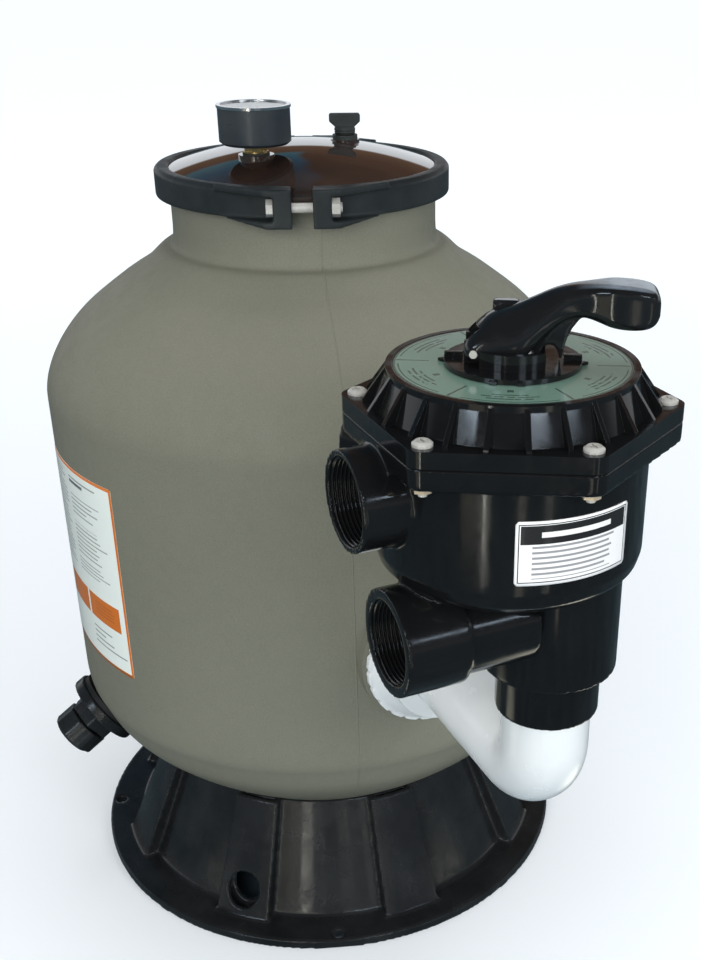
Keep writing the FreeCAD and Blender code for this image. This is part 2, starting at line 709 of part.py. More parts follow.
# ---------------- rotor and spring ----------------
def cross_pin(radius, length, centre):
    """Cylinder centred on a point, square to the lever and level."""
    across = polar(1, LEVER_TURN - 90)
    return cyl(radius, length, centre - across * (length / 2), across)


def rotor():
    disc = cyl(66.0, 9.95, head_at(437.05))
    for middle in (LEVER_TURN, LEVER_TURN + 180):
        sector = on_head(wedge(middle - 26, middle + 26, 430, 470))
        disc = disc.cut(ring(60, 26, 14, head_at(435.0)).common(sector))
    dome = cone(64.0, 26.0, 20.0, head_at(447.0)).cut(cone(60.0, 22.5, 18.0, head_at(447.0)))
    dome = dome.common(on_head(wedge(LEVER_TURN + 34, LEVER_TURN + 326, 430, 480)))
    stem = cyl(STEM_R, 111.5, head_at(445.0))
    turned = fuse(disc, cyl(26.0, 24.0, head_at(445.0)), dome, stem)
    turned = turned.cut(cross_pin(STEM_PIN_R + 0.05, 40, head_at(STEM_PIN_Z)))
    return turned.removeSplitter()


def spider_gasket():
    low, thickness = CHAMBER_FLOOR, 3.0
    gasket = ring(66.4, 60.5, thickness, head_at(low))
    for i in range(6):
        spoke = box(8, -2.2, low, 62, 2.2, low + thickness)
        gasket = gasket.fuse(on_head(spoke, 60 * i + 30))
    return fuse(gasket, ring(12, 6, thickness, head_at(low))).removeSplitter()


def thrust_washer():
    return ring(20.0, 11.2, 1.5, head_at(508.5))


def rotor_spring():
    coil_r = 15.5
    helix = Part.makeHelix(6.5, 39.0, coil_r)
    section = Part.Wire([Part.makeCircle(1.6, Vector(coil_r, 0, 0), Y_AXIS)])
    spring = Part.Wire(helix.Edges).makePipeShell([section], True, True)
    spring.translate(head_at(469.2))
    # The sweep is closed here if it comes back as a bare shell
    if not spring.Solids:
        spring = Part.makeSolid(spring)
    return spring.common(cyl(30, 39.2, head_at(469.05)))


# ---------------- hub and lever ----------------
def handle_hub():
    top = COVER_TOP
    hub = cyl(35.4, 2.6, head_at(top)).cut(cyl(STEM_HOLE_R, 10, head_at(top - 2)))
    hub = fuse(hub, ring(24.0, 20.6, 8.3, head_at(top + 2.5)))
    for turn in (-82, -104, 82, 104):
        hub = hub.fuse(on_head(box(33, -2, top, 36.8, 2, top + 1.6), LEVER_TURN + turn))
    # Slot for the lever cheeks
    hub = hub.cut(on_head(box(-33, -17.4, top + 2.6, 31, 17.4, top + 40), LEVER_TURN))
    for turn in (LEVER_TURN, LEVER_TURN + 180):
        bar = fuse(
            box(25.6, -1.4, top + 2.0, 35.0, 1.4, top + 5.2),
            prism([(25.6, -4.6), (30.5, -1.4), (30.5, 1.4), (25.6, 4.6)], top + 2.0, top + 4.6),
        )
        tip = prism([(34.6, -2.4), (38.4, 0), (34.6, 2.4)], top, top + 1.6)
        hub = fuse(hub, on_head(bar, turn), on_head(tip, turn))
    # Ears that carry the handle pin
    for y in (-9.6, 6.0):
        ear = box(-24.5, y, top + 2.0, -14.6, y + 3.6, HANDLE_PIN_Z + 4.5)
        hub = hub.fuse(on_head(ear, LEVER_TURN))
    return hub.cut(cross_pin(HANDLE_HOLE_R, 60, handle_pin_centre())).removeSplitter()


def handle_pin_centre():
    along = Vector(LEVER_DIR_X, LEVER_DIR_Y, 0)
    return head_at(HANDLE_PIN_Z) + along * HANDLE_PIN_X


def handle_pin():
    return cross_pin(HANDLE_PIN_R, 35.0, handle_pin_centre())


def valve_lever():
    """Wide yoke, narrow neck and broad paddle, drawn along +X."""
    outline = [(x, -y) for x, y in LEVER_EDGE] + LEVER_EDGE[::-1]
    lever = side_slab(LEVER_SIDE, -20, 40).common(prism(outline, 530, 590))
    lever = lever.common(cyl(26.5, 60, axis_at(535)).fuse(box(0, -30, 535, 90, 30, 595)))
    # Room for the stem, the ears and the travel of the stem pin
    lever = lever.cut(box(-26.9, -12.6, 536, 15.0, 12.6, 563.0))
    across = Y_AXIS * -1
    lever = lever.cut(cyl(HANDLE_HOLE_R, 60, Vector(HANDLE_PIN_X, 30, HANDLE_PIN_Z), across))
    # Slots in the cheeks that lift the stem pin
    z, slot_r, travel = STEM_PIN_Z, 2.95, 2.4
    slot = fuse(
        box(-travel, -20, z - slot_r, travel, 20, z + slot_r),
        cyl(slot_r, 40, Vector(-travel, 20, z), across),
        cyl(slot_r, 40, Vector(travel, 20, z), across),
    )
    lever = lever.cut(slot.common(box(-10, -15.6, 540, 10, 15.6, 560)))
    return on_head(lever, LEVER_TURN)


def stem_pin():
    return cross_pin(STEM_PIN_R, 30.4, head_at(STEM_PIN_Z))


# ---------------- lower connection ----------------
def elbow_pipe():
    bend_top, bend_end = LOWER_Z + BEND_R, TUBE_Y + BEND_R
    bend_centre = Vector(TUBE_X, bend_end, bend_top)
    bend = Part.makeTorus(BEND_R, PIPE_R, bend_centre, X_AXIS)
    bend = bend.cut(Part.makeTorus(BEND_R, PIPE_BORE_R, bend_centre, X_AXIS))
    bend = bend.common(box(
        TUBE_X - 60, TUBE_Y - 60, LOWER_Z - 60, TUBE_X + 60, bend_end, bend_top
    ))
    nipple = ring(MALE_THREAD_R, REDUCED_BORE_R, 24.5, tube_at(COLLAR_LOW))
    nipple = nipple.fuse(ring(PIPE_R, REDUCED_BORE_R, 2.0, tube_at(COLLAR_LOW - 2.0)))
    return fuse(
        ring(PIPE_R, PIPE_BORE_R, COLLAR_LOW - bend_top, tube_at(bend_top)),
        bend,
        y_ring(PIPE_R, PIPE_BORE_R, LOWER_TAIL_Y - bend_end, bend_end, LOWER_Z),
        nipple,
        y_ring(31.0, PIPE_BORE_R, TAIL_T, LOWER_TAIL_Y, LOWER_Z),
    ).removeSplitter()


def lower_bulkhead():
    bulkhead = fuse(
        y_ring(LOWER_SHANK_R, PIPE_BORE_R, 42.0, LOWER_JOINT_Y, LOWER_Z),
        y_ring(38.0, PIPE_BORE_R, 4.0, PAD_FACE - 4.0, LOWER_Z),
        y_ring(UNION_R, PIPE_BORE_R, 9.0, LOWER_JOINT_Y, LOWER_Z),
    )
    return bulkhead.cut(y_ring(28.6, 24.6, 2.2, LOWER_JOINT_Y, LOWER_Z)).removeSplitter()


def lower_union_oring():
    return y_torus(26.6, 1.08, LOWER_JOINT_Y + 1.1, LOWER_Z)


def lower_union_nut():
    """Dished ring with a notched rim in front of the pad."""
    z, nut_r, bore_r, recess_r = LOWER_Z, 40.0, UNION_R + 0.08, 38.3
    dish = cone(nut_r, 50.0, 10.0, Vector(TUBE_X, PAD_FACE - 16.0, z), Y_AXIS)
    dish = dish.cut(y_cyl(bore_r, 12, PAD_FACE - 17, z))
    dish = dish.cut(y_cyl(recess_r, 6.2, PAD_FACE - 6.2, z))
    nut = fuse(
        y_ring(52.5, recess_r, 6.0, PAD_FACE - 6.0, z),
        dish,
        y_ring(nut_r, bore_r, 10.0, PAD_FACE - 20.0, z),
        y_ring(nut_r, PIPE_R + 0.1, 5.0, PAD_FACE - 24.5, z),
    )
    nut = nut.cut(y_cyl(31.2, 7.0, PAD_FACE - 19.2, z))
    for i in range(24):
        notch = polar(53.3, 15 * i)
        centre = Vector(TUBE_X + notch.x, PAD_FACE - 7.0, z + notch.y)
        nut = nut.cut(cyl(2.2, 8.0, centre, Y_AXIS))
    return nut.removeSplitter()


def lower_gasket():
    return y_ring(44.0, LOWER_SHANK_R + 0.2, 2.0, PAD_FACE + LOWER_PAD_DEPTH, LOWER_Z)


def lower_locknut():
    start = PAD_FACE + LOWER_PAD_DEPTH
    nut = lay(hexagon(78.0, 9.0), Vector(TUBE_X, start + 2.0, LOWER_Z), Y_AXIS)
    return nut.cut(y_cyl(LOWER_SHANK_R + NUT_PLAY, 20, start, LOWER_Z))


# ---------------- upper connection ----------------
def upper_bulkhead():
    bulkhead = fuse(
        y_ring(UPPER_SHANK_R, REDUCED_BORE_R, 52.0, UPPER_JOINT_Y, UPPER_Z),
        y_ring(36.0, REDUCED_BORE_R, 4.0, PAD_FACE - 4.0, UPPER_Z),
        y_ring(27.0, REDUCED_BORE_R, 10.0, UPPER_JOINT_Y, UPPER_Z),
    )
    return bulkhead.cut(y_ring(24.6, 20.6, 2.2, UPPER_JOINT_Y, UPPER_Z)).removeSplitter()


def upper_union_oring():
    return y_torus(22.6, 1.08, UPPER_JOINT_Y + 1.1, UPPER_Z)


def upper_gasket():
    return y_ring(32.0, UPPER_SHANK_R + 0.1, 1.8, PAD_FACE + UPPER_PAD_DEPTH, UPPER_Z)


def upper_locknut():
    start = PAD_FACE + UPPER_PAD_DEPTH + 1.8
    nut = lay(hexagon(58.0, 8.0), Vector(TUBE_X, start, UPPER_Z), Y_AXIS)
    return nut.cut(y_cyl(UPPER_SHANK_R + NUT_PLAY, 20, PAD_FACE + 20, UPPER_Z))


def upper_tailpiece():
    return fuse(*[
        y_ring(outer, REDUCED_BORE_R, length, y, UPPER_Z)
        for outer, length, y in (
            (21.0, UPPER_TAIL_Y - TAIL_START_Y, TAIL_START_Y),
            (25.5, TAIL_T, UPPER_TAIL_Y),
            (26.0, 8.0, TAIL_START_Y),
            (MALE_THREAD_R, 22.5, -298.0),
        )
    ]).removeSplitter()


def upper_union_nut():
    z, bore_r, nut_start = UPPER_Z, 27.08, -236.2
    nut = fuse(y_ring(36.0, bore_r, 15.2, -230.2, z), y_ring(36.0, 21.2, 6.0, nut_start, z))
    nut = nut.cut(y_cyl(25.8, 6.4, -230.2, z)).cut(y_cyl(bore_r, 40, -224.2, z))
    for i in range(8):
        groove = rotate(box(-4, 34.2, -1, 4, 40, 8.5), 45 * i)
        nut = nut.cut(lay(groove, Vector(TUBE_X, nut_start, z), Y_AXIS))
    return nut.removeSplitter()


# ---------------- drain ----------------
def drain_bulkhead():
    bore_r = DRAIN_BORE_R
    return fuse(
        ring(DRAIN_SHANK_R, bore_r, 26.0, axis_at(-12.0)),
        ring(31.5, bore_r, 4.0, axis_at(3.0)),
        ring(31.5, 29.1, 5.0, axis_at(-1.5)),
        hexagon(36.0, 13.0, axis_at(7.0), 8).cut(cyl(bore_r, 30)),
        ring(14.0, bore_r, 14.0, axis_at(19.0)),
    ).removeSplitter()


def drain_cap():
    cap = fuse(ring(20.0, 14.05, 13.5, axis_at(21.5)), cyl(20.0, 4.0, axis_at(35.0)))
    octagon = regular_prism(8, 20.6, 10, 20, 45)
    cap = cap.common(octagon.fuse(cyl(19.2, 25, axis_at(20))))
    return cap.fuse(cyl(17.2, 1.6, axis_at(39.0))).removeSplitter()


def drain_cap_gasket():
    return ring(13.8, 9.6, 2.0, axis_at(33.0))


def drain_gasket():
    return ring(24.0, DRAIN_SHANK_R + 0.1, 1.5, axis_at(-7.5))


def drain_locknut():
    hole = cyl(DRAIN_SHANK_R + NUT_PLAY, 20, axis_at(-15))
    return hexagon(38.0, 4.0, axis_at(-11.5)).cut(hole)


# ---------------- internal plumbing ----------------
def standpipe():
    """Runs from the lower bulkhead to an elbow at y = 0, then down to the hub."""
    bore_r, start_y, start_z = STAND_BORE_R, STAND_START_Y, HUB_Z + 22
    height = LOWER_Z - start_z
    elbow = cyl(24.5, 50, inside_at(LOWER_Z - 25)).fuse(y_cyl(24.5, 26, -26, LOWER_Z))
    elbow = elbow.cut(y_cyl(bore_r, 26, -27, LOWER_Z))
    elbow = elbow.cut(cyl(bore_r, 26, inside_at(LOWER_Z - 26)))
    pipe = fuse(
        y_ring(STAND_R, bore_r, -10.0 - start_y, start_y, LOWER_Z),
        ring(STAND_R, bore_r, height, inside_at(start_z)),
        elbow,
    )
    pipe = pipe.cut(y_cyl(bore_r, -start_y, start_y, LOWER_Z))
    return pipe.cut(cyl(bore_r, height, inside_at(start_z))).removeSplitter()


def lateral_hub():
    hub = cyl(34.0, 30.0, inside_at(HUB_Z - 8))
    hub = hub.fuse(ring(25.5, 20.5, 12.0, inside_at(HUB_Z + 22)))
    hub = hub.cut(cyl(28.0, 24.0, inside_at(HUB_Z - 4)))
    hub = hub.cut(cyl(20.5, 30, inside_at(HUB_Z + 15)))
    for angle in LATERAL_ANGLES:
        hub = hub.cut(cyl(6.05, 30, inside_at(LATERAL_Z) + polar(20, angle), polar(1, angle)))
    return hub.removeSplitter()


def laterals():
    arms = []
    centre, length, start = inside_at(LATERAL_Z), 75.0, 34.1
    for angle in LATERAL_ANGLES:
        out = polar(1, angle)
        arm = fuse(
            cyl(6.0, 6.0, centre + out * 29.0, out),
            cyl(9.0, length, centre + out * start, out),
            cone(9.0, 5.0, 5.0, centre + out * (start + length), out),
        )
        arm = arm.cut(cyl(5.0, length + 4, centre + out * 29.0, out))
        for i in range(9):
            arm = arm.cut(ring(9.5, 7.6, 0.8, centre + out * (42.0 + 7.0 * i), out))
        arms.append(arm)
    return Part.makeCompound(arms)


def feed_pipe():
    pipe = fuse(
        y_cyl(17.4, 182.0, FEED_START_Y, UPPER_Z),
        cyl(20.5, 52.0, inside_at(UPPER_Z - 20)),
        y_cyl(20.5, 36.0, -32.0, UPPER_Z),
    )
    pipe = pipe.cut(y_cyl(14.0, 212.0, FEED_START_Y - 1, UPPER_Z))
    return pipe.cut(cyl(15.0, 60.0, inside_at(UPPER_Z - 15))).removeSplitter()


def diffuser_head():
    head = fuse(
        ring(24.4, 20.6, 12.2, inside_at(UPPER_Z + 20.8)),
        ring(44.0, 15.0, 3.0, inside_at(UPPER_Z + 33)),
        cyl(44.0, 3.0, inside_at(UPPER_Z + 56)),
    )
    for i in range(12):
        post = box(-2.0, -2.0, 0, 2.0, 2.0, 21.0)
        head = head.fuse(moved(post, inside_at(UPPER_Z + 35.5) + polar(40, 30 * i)))
    return head.removeSplitter()


def air_bleed_tube():
    """Upright tube whose foot meets the side of the lateral hub."""
    start = HUB_Z + 18
    tube = ring(3.0, 1.8, 520 - start, inside_at(start) + X_AXIS * 47.5)
    foot = box(TUBE_X + 33.9, -4, HUB_Z + 12.0, TUBE_X + 51.5, 4, HUB_Z + 18.5)
    return tube.fuse(foot.cut(cyl(34.0, 60, inside_at(HUB_Z)))).removeSplitter()


# ---------------- build: each function's name is its file name ----------------
TANK_PIECES = [
    tank_shell, base_skirt, lid_dome, lid_oring,
    gauge_stem, gauge_seal, gauge_locknut, gauge_case, gauge_bezel, gauge_glass,
    gauge_dial, gauge_movement, gauge_needle,
    relief_body, relief_locknut, relief_knob, relief_oring,
    clamp_half_left, clamp_half_right, clamp_bolts, clamp_nuts,
]
VALVE_PIECES = [
    valve_body, cover_oring, valve_cover, stem_oring, index_plate, cover_screws, cover_nuts,
    rotor, spider_gasket, thrust_washer, rotor_spring,
    handle_hub, handle_pin, valve_lever, stem_pin,
    elbow_pipe, lower_bulkhead, lower_union_oring, lower_union_nut, lower_gasket,
    lower_locknut, upper_bulkhead, upper_union_oring, upper_gasket, upper_locknut,
    upper_tailpiece, upper_union_nut,
    standpipe, lateral_hub, laterals, feed_pipe, diffuser_head, air_bleed_tube,
]
DRAIN_PIECES = [drain_bulkhead, drain_cap, drain_cap_gasket, drain_gasket, drain_locknut]

for place, pieces in (
    (place_tank, TANK_PIECES),
    (place_valve, VALVE_PIECES),
    (place_drain, DRAIN_PIECES),
):
    for build in pieces:
        save(build.__name__, place(build()))
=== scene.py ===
import bpy
import json
import math
import random
import numpy as np
from mathutils import Vector, Matrix
from mathutils.bvhtree import BVHTree


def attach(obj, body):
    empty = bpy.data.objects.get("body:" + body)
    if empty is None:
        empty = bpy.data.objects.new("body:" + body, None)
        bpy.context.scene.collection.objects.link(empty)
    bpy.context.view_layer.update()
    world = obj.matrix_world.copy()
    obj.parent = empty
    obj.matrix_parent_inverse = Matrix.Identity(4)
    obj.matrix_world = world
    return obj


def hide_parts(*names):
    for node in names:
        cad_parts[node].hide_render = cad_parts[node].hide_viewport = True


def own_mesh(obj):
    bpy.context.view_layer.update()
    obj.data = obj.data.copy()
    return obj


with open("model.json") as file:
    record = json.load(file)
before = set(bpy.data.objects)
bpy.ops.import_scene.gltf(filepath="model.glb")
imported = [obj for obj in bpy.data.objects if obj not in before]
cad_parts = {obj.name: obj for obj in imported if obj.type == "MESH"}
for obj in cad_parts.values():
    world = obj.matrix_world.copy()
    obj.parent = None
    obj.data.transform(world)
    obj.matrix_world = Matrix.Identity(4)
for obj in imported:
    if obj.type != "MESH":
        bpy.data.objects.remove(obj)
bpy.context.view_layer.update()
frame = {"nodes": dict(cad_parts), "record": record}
nodes = frame["nodes"]
MM = 0.001
TURN = math.radians(19.5)
HX, HY = -21.5, -366.0
random.seed(7)


def g(x, y, z):
    """Valve frame in mm to the row frame in metres."""
    c, s = math.cos(TURN), math.sin(TURN)
    return Vector(((x * c - y * s) * MM, (x * s + y * c) * MM, z * MM))


def gd(x, y, z=0.0):
    c, s = math.cos(TURN), math.sin(TURN)
    return Vector((x * c - y * s, x * s + y * c, z))


V_AX = g(HX, HY, 0)

# ------------------------------------------------------------------ materials


class Mat:
    def __init__(self, name):
        self.m = bpy.data.materials.new(name)
        self.m.use_nodes = True
        self.t = self.m.node_tree
        self.t.nodes.clear()
        self.out = self.t.nodes.new("ShaderNodeOutputMaterial")
        self.b = self.t.nodes.new("ShaderNodeBsdfPrincipled")
        self.t.links.new(self.b.outputs[0], self.out.inputs[0])
        self.co = self.t.nodes.new("ShaderNodeTexCoord").outputs["Object"]

    def put(self, sock, v):
        if isinstance(v, bpy.types.NodeSocket):
            self.t.links.new(v, sock)
        else:
            sock.default_value = v

    def set(self, **kw):
        for k, v in kw.items():
            self.put(self.b.inputs[k.replace("_", " ")], v)
        return self

    def math(self, op, a, b=None, c=None):
        n = self.t.nodes.new("ShaderNodeMath")
        n.operation = op
        for i, v in enumerate((a, b, c)):
            if v is not None:
                self.put(n.inputs[i], v)
        return n.outputs[0]

    def noise(self, scale, detail=3.0, rough=0.5, co=None, distort=0.0):
        n = self.t.nodes.new("ShaderNodeTexNoise")
        n.inputs["Scale"].default_value = scale
        n.inputs["Detail"].default_value = detail
        n.inputs["Roughness"].default_value = rough
        n.inputs["Distortion"].default_value = distort
        self.put(n.inputs["Vector"], co if co is not None else self.co)
        return n.outputs["Fac"]

    def voronoi(self, scale, co=None, feature="SMOOTH_F1"):
        n = self.t.nodes.new("ShaderNodeTexVoronoi")
        n.feature = feature
        n.inputs["Scale"].default_value = scale
        self.put(n.inputs["Vector"], co if co is not None else self.co)
        return n.outputs["Distance"]

    def stretch(self, x, y, z, co=None):
        n = self.t.nodes.new("ShaderNodeMapping")
        n.inputs["Scale"].default_value = (x, y, z)
        self.put(n.inputs["Vector"], co if co is not None else self.co)
        return n.outputs[0]

    def ramp(self, fac, a, b, lo=0.0, hi=1.0):
        n = self.t.nodes.new("ShaderNodeMapRange")
        n.inputs["From Min"].default_value = lo
        n.inputs["From Max"].default_value = hi
        n.inputs["To Min"].default_value = a
        n.inputs["To Max"].default_value = b
        self.put(n.inputs["Value"], fac)
        return n.outputs[0]

    def mix(self, fac, a, b, kind="MIX"):
        n = self.t.nodes.new("ShaderNodeMix")
        n.data_type = "RGBA"
        n.blend_type = kind
        self.put(n.inputs["Factor"], fac)
        for key, v in (("A", a), ("B", b)):
            s = [i for i in n.inputs if i.name == key and i.type == "RGBA"][0]
            self.put(s, tuple(v) + (1.0,) if isinstance(v, (tuple, list)) and len(v) == 3 else v)
        return [o for o in n.outputs if o.type == "RGBA"][0]

    def bump(self, height, dist, strength=1.0, normal=None):
        n = self.t.nodes.new("ShaderNodeBump")
        n.inputs["Strength"].default_value = strength
        n.inputs["Distance"].default_value = dist
        self.put(n.inputs["Height"], height)
        if normal is not None:
            self.put(n.inputs["Normal"], normal)
        return n.outputs[0]

    def round(self, r):
        n = self.t.nodes.new("ShaderNodeBevel")
        n.samples = 4
        n.inputs["Radius"].default_value = r
        return n.outputs[0]

    def edges(self, r=0.0012):
        """About 0 on flat surfaces and up to 1 along edges."""
        geo = self.t.nodes.new("ShaderNodeNewGeometry")
        bev = self.round(r)
        d = self.t.nodes.new("ShaderNodeVectorMath")
        d.operation = "DOT_PRODUCT"
        self.t.links.new(geo.outputs["Normal"], d.inputs[0])
        self.t.links.new(bev, d.inputs[1])
        return self.math("SUBTRACT", 1.0, d.outputs["Value"])

    def xyz(self, co=None):
        n = self.t.nodes.new("ShaderNodeSeparateXYZ")
        self.put(n.inputs[0], co if co is not None else self.co)
        return n.outputs

    def uv(self):
        n = self.t.nodes.new("ShaderNodeUVMap")
        n.uv_map = "UVMap"
        return self.xyz(n.outputs[0])


def plastic(name, base, rough, grain=900.0, depth=0.00004, var=0.12, edge=0.0005, coat=0.0, tone=None, spec=0.5, wear=0.35, smudge=0.10, wave=0.00010):
    """Moulded plastic: colour drift, fine grain, smudges in the gloss and lighter rubbed edges."""
    m = Mat(name)
    tone = tone or tuple(min(1.0, c * 1.9 + 0.012) for c in base)
    drift = m.ramp(m.noise(22.0, 4.0, 0.6), 0.0, var * 2, 0.35, 0.7)
    col = m.mix(drift, base, tone)
    e = m.ramp(m.edges(0.0011), 0.0, wear, 0.02, 0.25)
    col = m.mix(e, col, tuple(min(1.0, c * 3.0 + 0.03) for c in base))
    sm = m.noise(60.0, 5.0, 0.65, distort=0.6)
    fine = m.noise(grain, 2.0, 0.5)
    rg = m.math("ADD", m.ramp(sm, rough - smudge * 0.5, rough + smudge, 0.3, 0.75), m.ramp(fine, -0.02, 0.02))
    nrm = m.bump(fine, depth, 1.0, m.round(edge) if edge else None)
    nrm = m.bump(m.noise(26.0, 1.0, 0.4), wave, 0.35, nrm)
    m.set(Base_Color=col, Roughness=rg, Normal=nrm)
    m.b.inputs["Specular IOR Level"].default_value = spec
    m.b.inputs["Coat Weight"].default_value = coat
    m.b.inputs["Coat Roughness"].default_value = 0.06
    return m.m


def metal(name, base, rough, scratch=(1, 1, 14), edge=0.0003, dirt=0.25, dirt_col=(0.12, 0.09, 0.06), pure=1.0):
    m = Mat(name)
    s = m.noise(1400.0, 3.0, 0.6, m.stretch(*scratch))
    d = m.ramp(m.noise(180.0, 5.0, 0.7), 0.0, dirt, 0.5, 0.8)
    col = m.mix(d, base, dirt_col)
    col = m.mix(m.ramp(s, 0.0, 0.25, 0.3, 0.8), col, tuple(c * 0.75 for c in base))
    m.set(Base_Color=col, Metallic=pure, Roughness=m.ramp(s, rough - 0.06, rough + 0.12, 0.3, 0.7), Normal=m.bump(s, 0.00003, 0.6, m.round(edge)))
    return m.m


def tank_skin():
    m = Mat("tank_orange_peel")
    base, warm, dark = (0.176, 0.177, 0.138), (0.187, 0.187, 0.144), (0.154, 0.155, 0.121)
    big = m.ramp(m.noise(5.0, 3.0, 0.5), 0.0, 1.0, 0.35, 0.65)
    col = m.mix(big, base, warm)
    mot = m.noise(55.0, 6.0, 0.68)
    col = m.mix(m.ramp(mot, 0.0, 0.28, 0.48, 0.72), col, dark)
    peel = m.math("SUBTRACT", 1.0, m.voronoi(520.0))
    fine = m.noise(1150.0, 3.0, 0.62)
    col = m.mix(m.ramp(fine, 0.0, 0.40, 0.52, 0.8), col, (0.250, 0.250, 0.190))
    col = m.mix(m.ramp(fine, 0.45, 0.0, 0.22, 0.48), col, (0.104, 0.106, 0.079))
    z = m.xyz()[2]
    low = m.ramp(z, 0.35, 0.0, 0.05, 0.20)
    col = m.mix(m.math("MULTIPLY", low, m.noise(30.0, 5.0, 0.7)), col, (0.12, 0.115, 0.095))
    # the moulded-in drain seat is black: within 29.6 mm of the drain axis and outside the wall
    az_, tl_ = math.radians(-164.5), math.radians(36.0)
    dx_ = Vector((math.cos(az_) * math.cos(tl_), math.sin(az_) * math.cos(tl_), -math.sin(tl_)))
    dp_ = Vector((192.0 * math.cos(az_), 192.0 * math.sin(az_), 147.0)) * MM
    rel = m.t.nodes.new("ShaderNodeVectorMath")
    rel.operation = "SUBTRACT"
    m.t.links.new(m.co, rel.inputs[0])
    rel.inputs[1].default_value = dp_
    dt = m.t.nodes.new("ShaderNodeVectorMath")
    dt.operation = "DOT_PRODUCT"
    m.t.links.new(rel.outputs[0], dt.inputs[0])
    dt.inputs[1].default_value = dx_
    ln = m.t.nodes.new("ShaderNodeVectorMath")
    ln.operation = "LENGTH"
    m.t.links.new(rel.outputs[0], ln.inputs[0])
    along = dt.outputs["Value"]
    off2 = m.math("SUBTRACT", m.math("MULTIPLY", ln.outputs["Value"], ln.outputs["Value"]), m.math("MULTIPLY", along, along))
    seat = m.math("MULTIPLY", m.math("LESS_THAN", off2, 0.0293 ** 2), m.math("GREATER_THAN", along, -0.0075))
    col = m.mix(seat, col, m.mix(m.noise(300.0), (0.010, 0.011, 0.012), (0.018, 0.020, 0.021)))
    n = m.bump(m.noise(16.0, 2.0, 0.4), 0.0012, 0.25)
    n = m.bump(m.noise(420.0, 4.0, 0.6), 0.00030, 0.75, n)
    n = m.bump(peel, 0.00022, 0.55, n)
    n = m.bump(fine, 0.00010, 0.8, n)
    m.set(Base_Color=col, Roughness=m.ramp(mot, 0.50, 0.66, 0.3, 0.7), Normal=n)
    m.b.inputs["Specular IOR Level"].default_value = 0.42
    return m.m


def smoked_lid():
    m = Mat("smoked_dome")
    sw = m.noise(14.0, 3.0, 0.5, distort=1.2)
    col = m.mix(m.ramp(sw, 0.0, 1.0, 0.35, 0.7), (0.020, 0.013, 0.011), (0.050, 0.030, 0.022))
    scr = m.noise(260.0, 4.0, 0.7, m.stretch(1, 7, 1))
    m.set(Base_Color=col, Roughness=m.ramp(scr, 0.035, 0.085, 0.45, 0.8), Normal=m.bump(m.noise(24.0, 2.0, 0.4), 0.0003, 0.30, m.round(0.0008)))
    m.b.inputs["IOR"].default_value = 1.57
    m.b.inputs["Transmission Weight"].default_value = 0.22
    m.b.inputs["Coat Weight"].default_value = 1.0
    m.b.inputs["Coat IOR"].default_value = 1.6
    m.b.inputs["Coat Roughness"].default_value = 0.02
    return m.m


def glass():
    m = Mat("gauge_window")
    n = m.noise(90.0, 3.0, 0.5)
    m.set(Base_Color=(0.93, 0.96, 0.97, 1), Roughness=m.ramp(n, 0.01, 0.05, 0.4, 0.8), Transmission_Weight=1.0, IOR=1.45, Normal=m.bump(n, 0.00003, 0.3))
    tr = m.t.nodes.new("ShaderNodeBsdfTransparent")
    mx = m.t.nodes.new("ShaderNodeMixShader")
    lp = m.t.nodes.new("ShaderNodeLightPath")
    m.t.links.new(lp.outputs["Is Shadow Ray"], mx.inputs[0])
    m.t.links.new(m.b.outputs[0], mx.inputs[1])
    m.t.links.new(tr.outputs[0], mx.inputs[2])
    m.t.links.new(mx.outputs[0], m.out.inputs[0])
    return m.m


def polar(m, cx, cy):
    """Radius (m) and angle (turns, 0..1) about a vertical axis."""
    x, y = m.math("SUBTRACT", m.xyz()[0], cx), m.math("SUBTRACT", m.xyz()[1], cy)
    r = m.math("SQRT", m.math("ADD", m.math("MULTIPLY", x, x), m.math("MULTIPLY", y, y)))
    a = m.math("ARCTAN2", y, x)
    return r, m.math("FRACT", m.math("ADD", m.math("DIVIDE", a, 2 * math.pi), 1.0)), x, y


def between(m, v, a, b):
    return m.math("MULTIPLY", m.math("GREATER_THAN", v, a), m.math("LESS_THAN", v, b))


def dial_face():
    m = Mat("dial_card")
    r, a, x, y = polar(m, -0.032, -0.042)
    turn = m.math("FRACT", m.math("ADD", a, 1.0 - 222.0 / 360.0))        # 0 at the rest pointing, growing the other way round
    sweep = m.math("SUBTRACT", 1.0, turn)
    on = m.math("GREATER_THAN", turn, 0.245)
    f = m.math("FRACT", m.math("MULTIPLY", sweep, 80.0))
    fine = m.math("MULTIPLY", m.math("GREATER_THAN", m.math("ABSOLUTE", m.math("SUBTRACT", f, 0.5)), 0.40), between(m, r, 0.0192, 0.0208))
    f2 = m.math("FRACT", m.math("MULTIPLY", sweep, 16.0))
    big = m.math("MULTIPLY", m.math("GREATER_THAN", m.math("ABSOLUTE", m.math("SUBTRACT", f2, 0.5)), 0.47), between(m, r, 0.0176, 0.0208))
    rim = between(m, r, 0.0207, 0.0210)
    ink = m.math("MULTIPLY", m.math("MAXIMUM", m.math("MAXIMUM", fine, big), rim), on)
    col = m.mix(m.noise(120.0, 4.0, 0.6), (0.80, 0.80, 0.77), (0.88, 0.88, 0.86))
    m.set(Base_Color=m.mix(ink, col, (0.02, 0.02, 0.022)), Roughness=m.ramp(m.noise(500.0), 0.35, 0.55), Normal=m.bump(m.noise(800.0), 0.00003, 0.5))
    return m.m


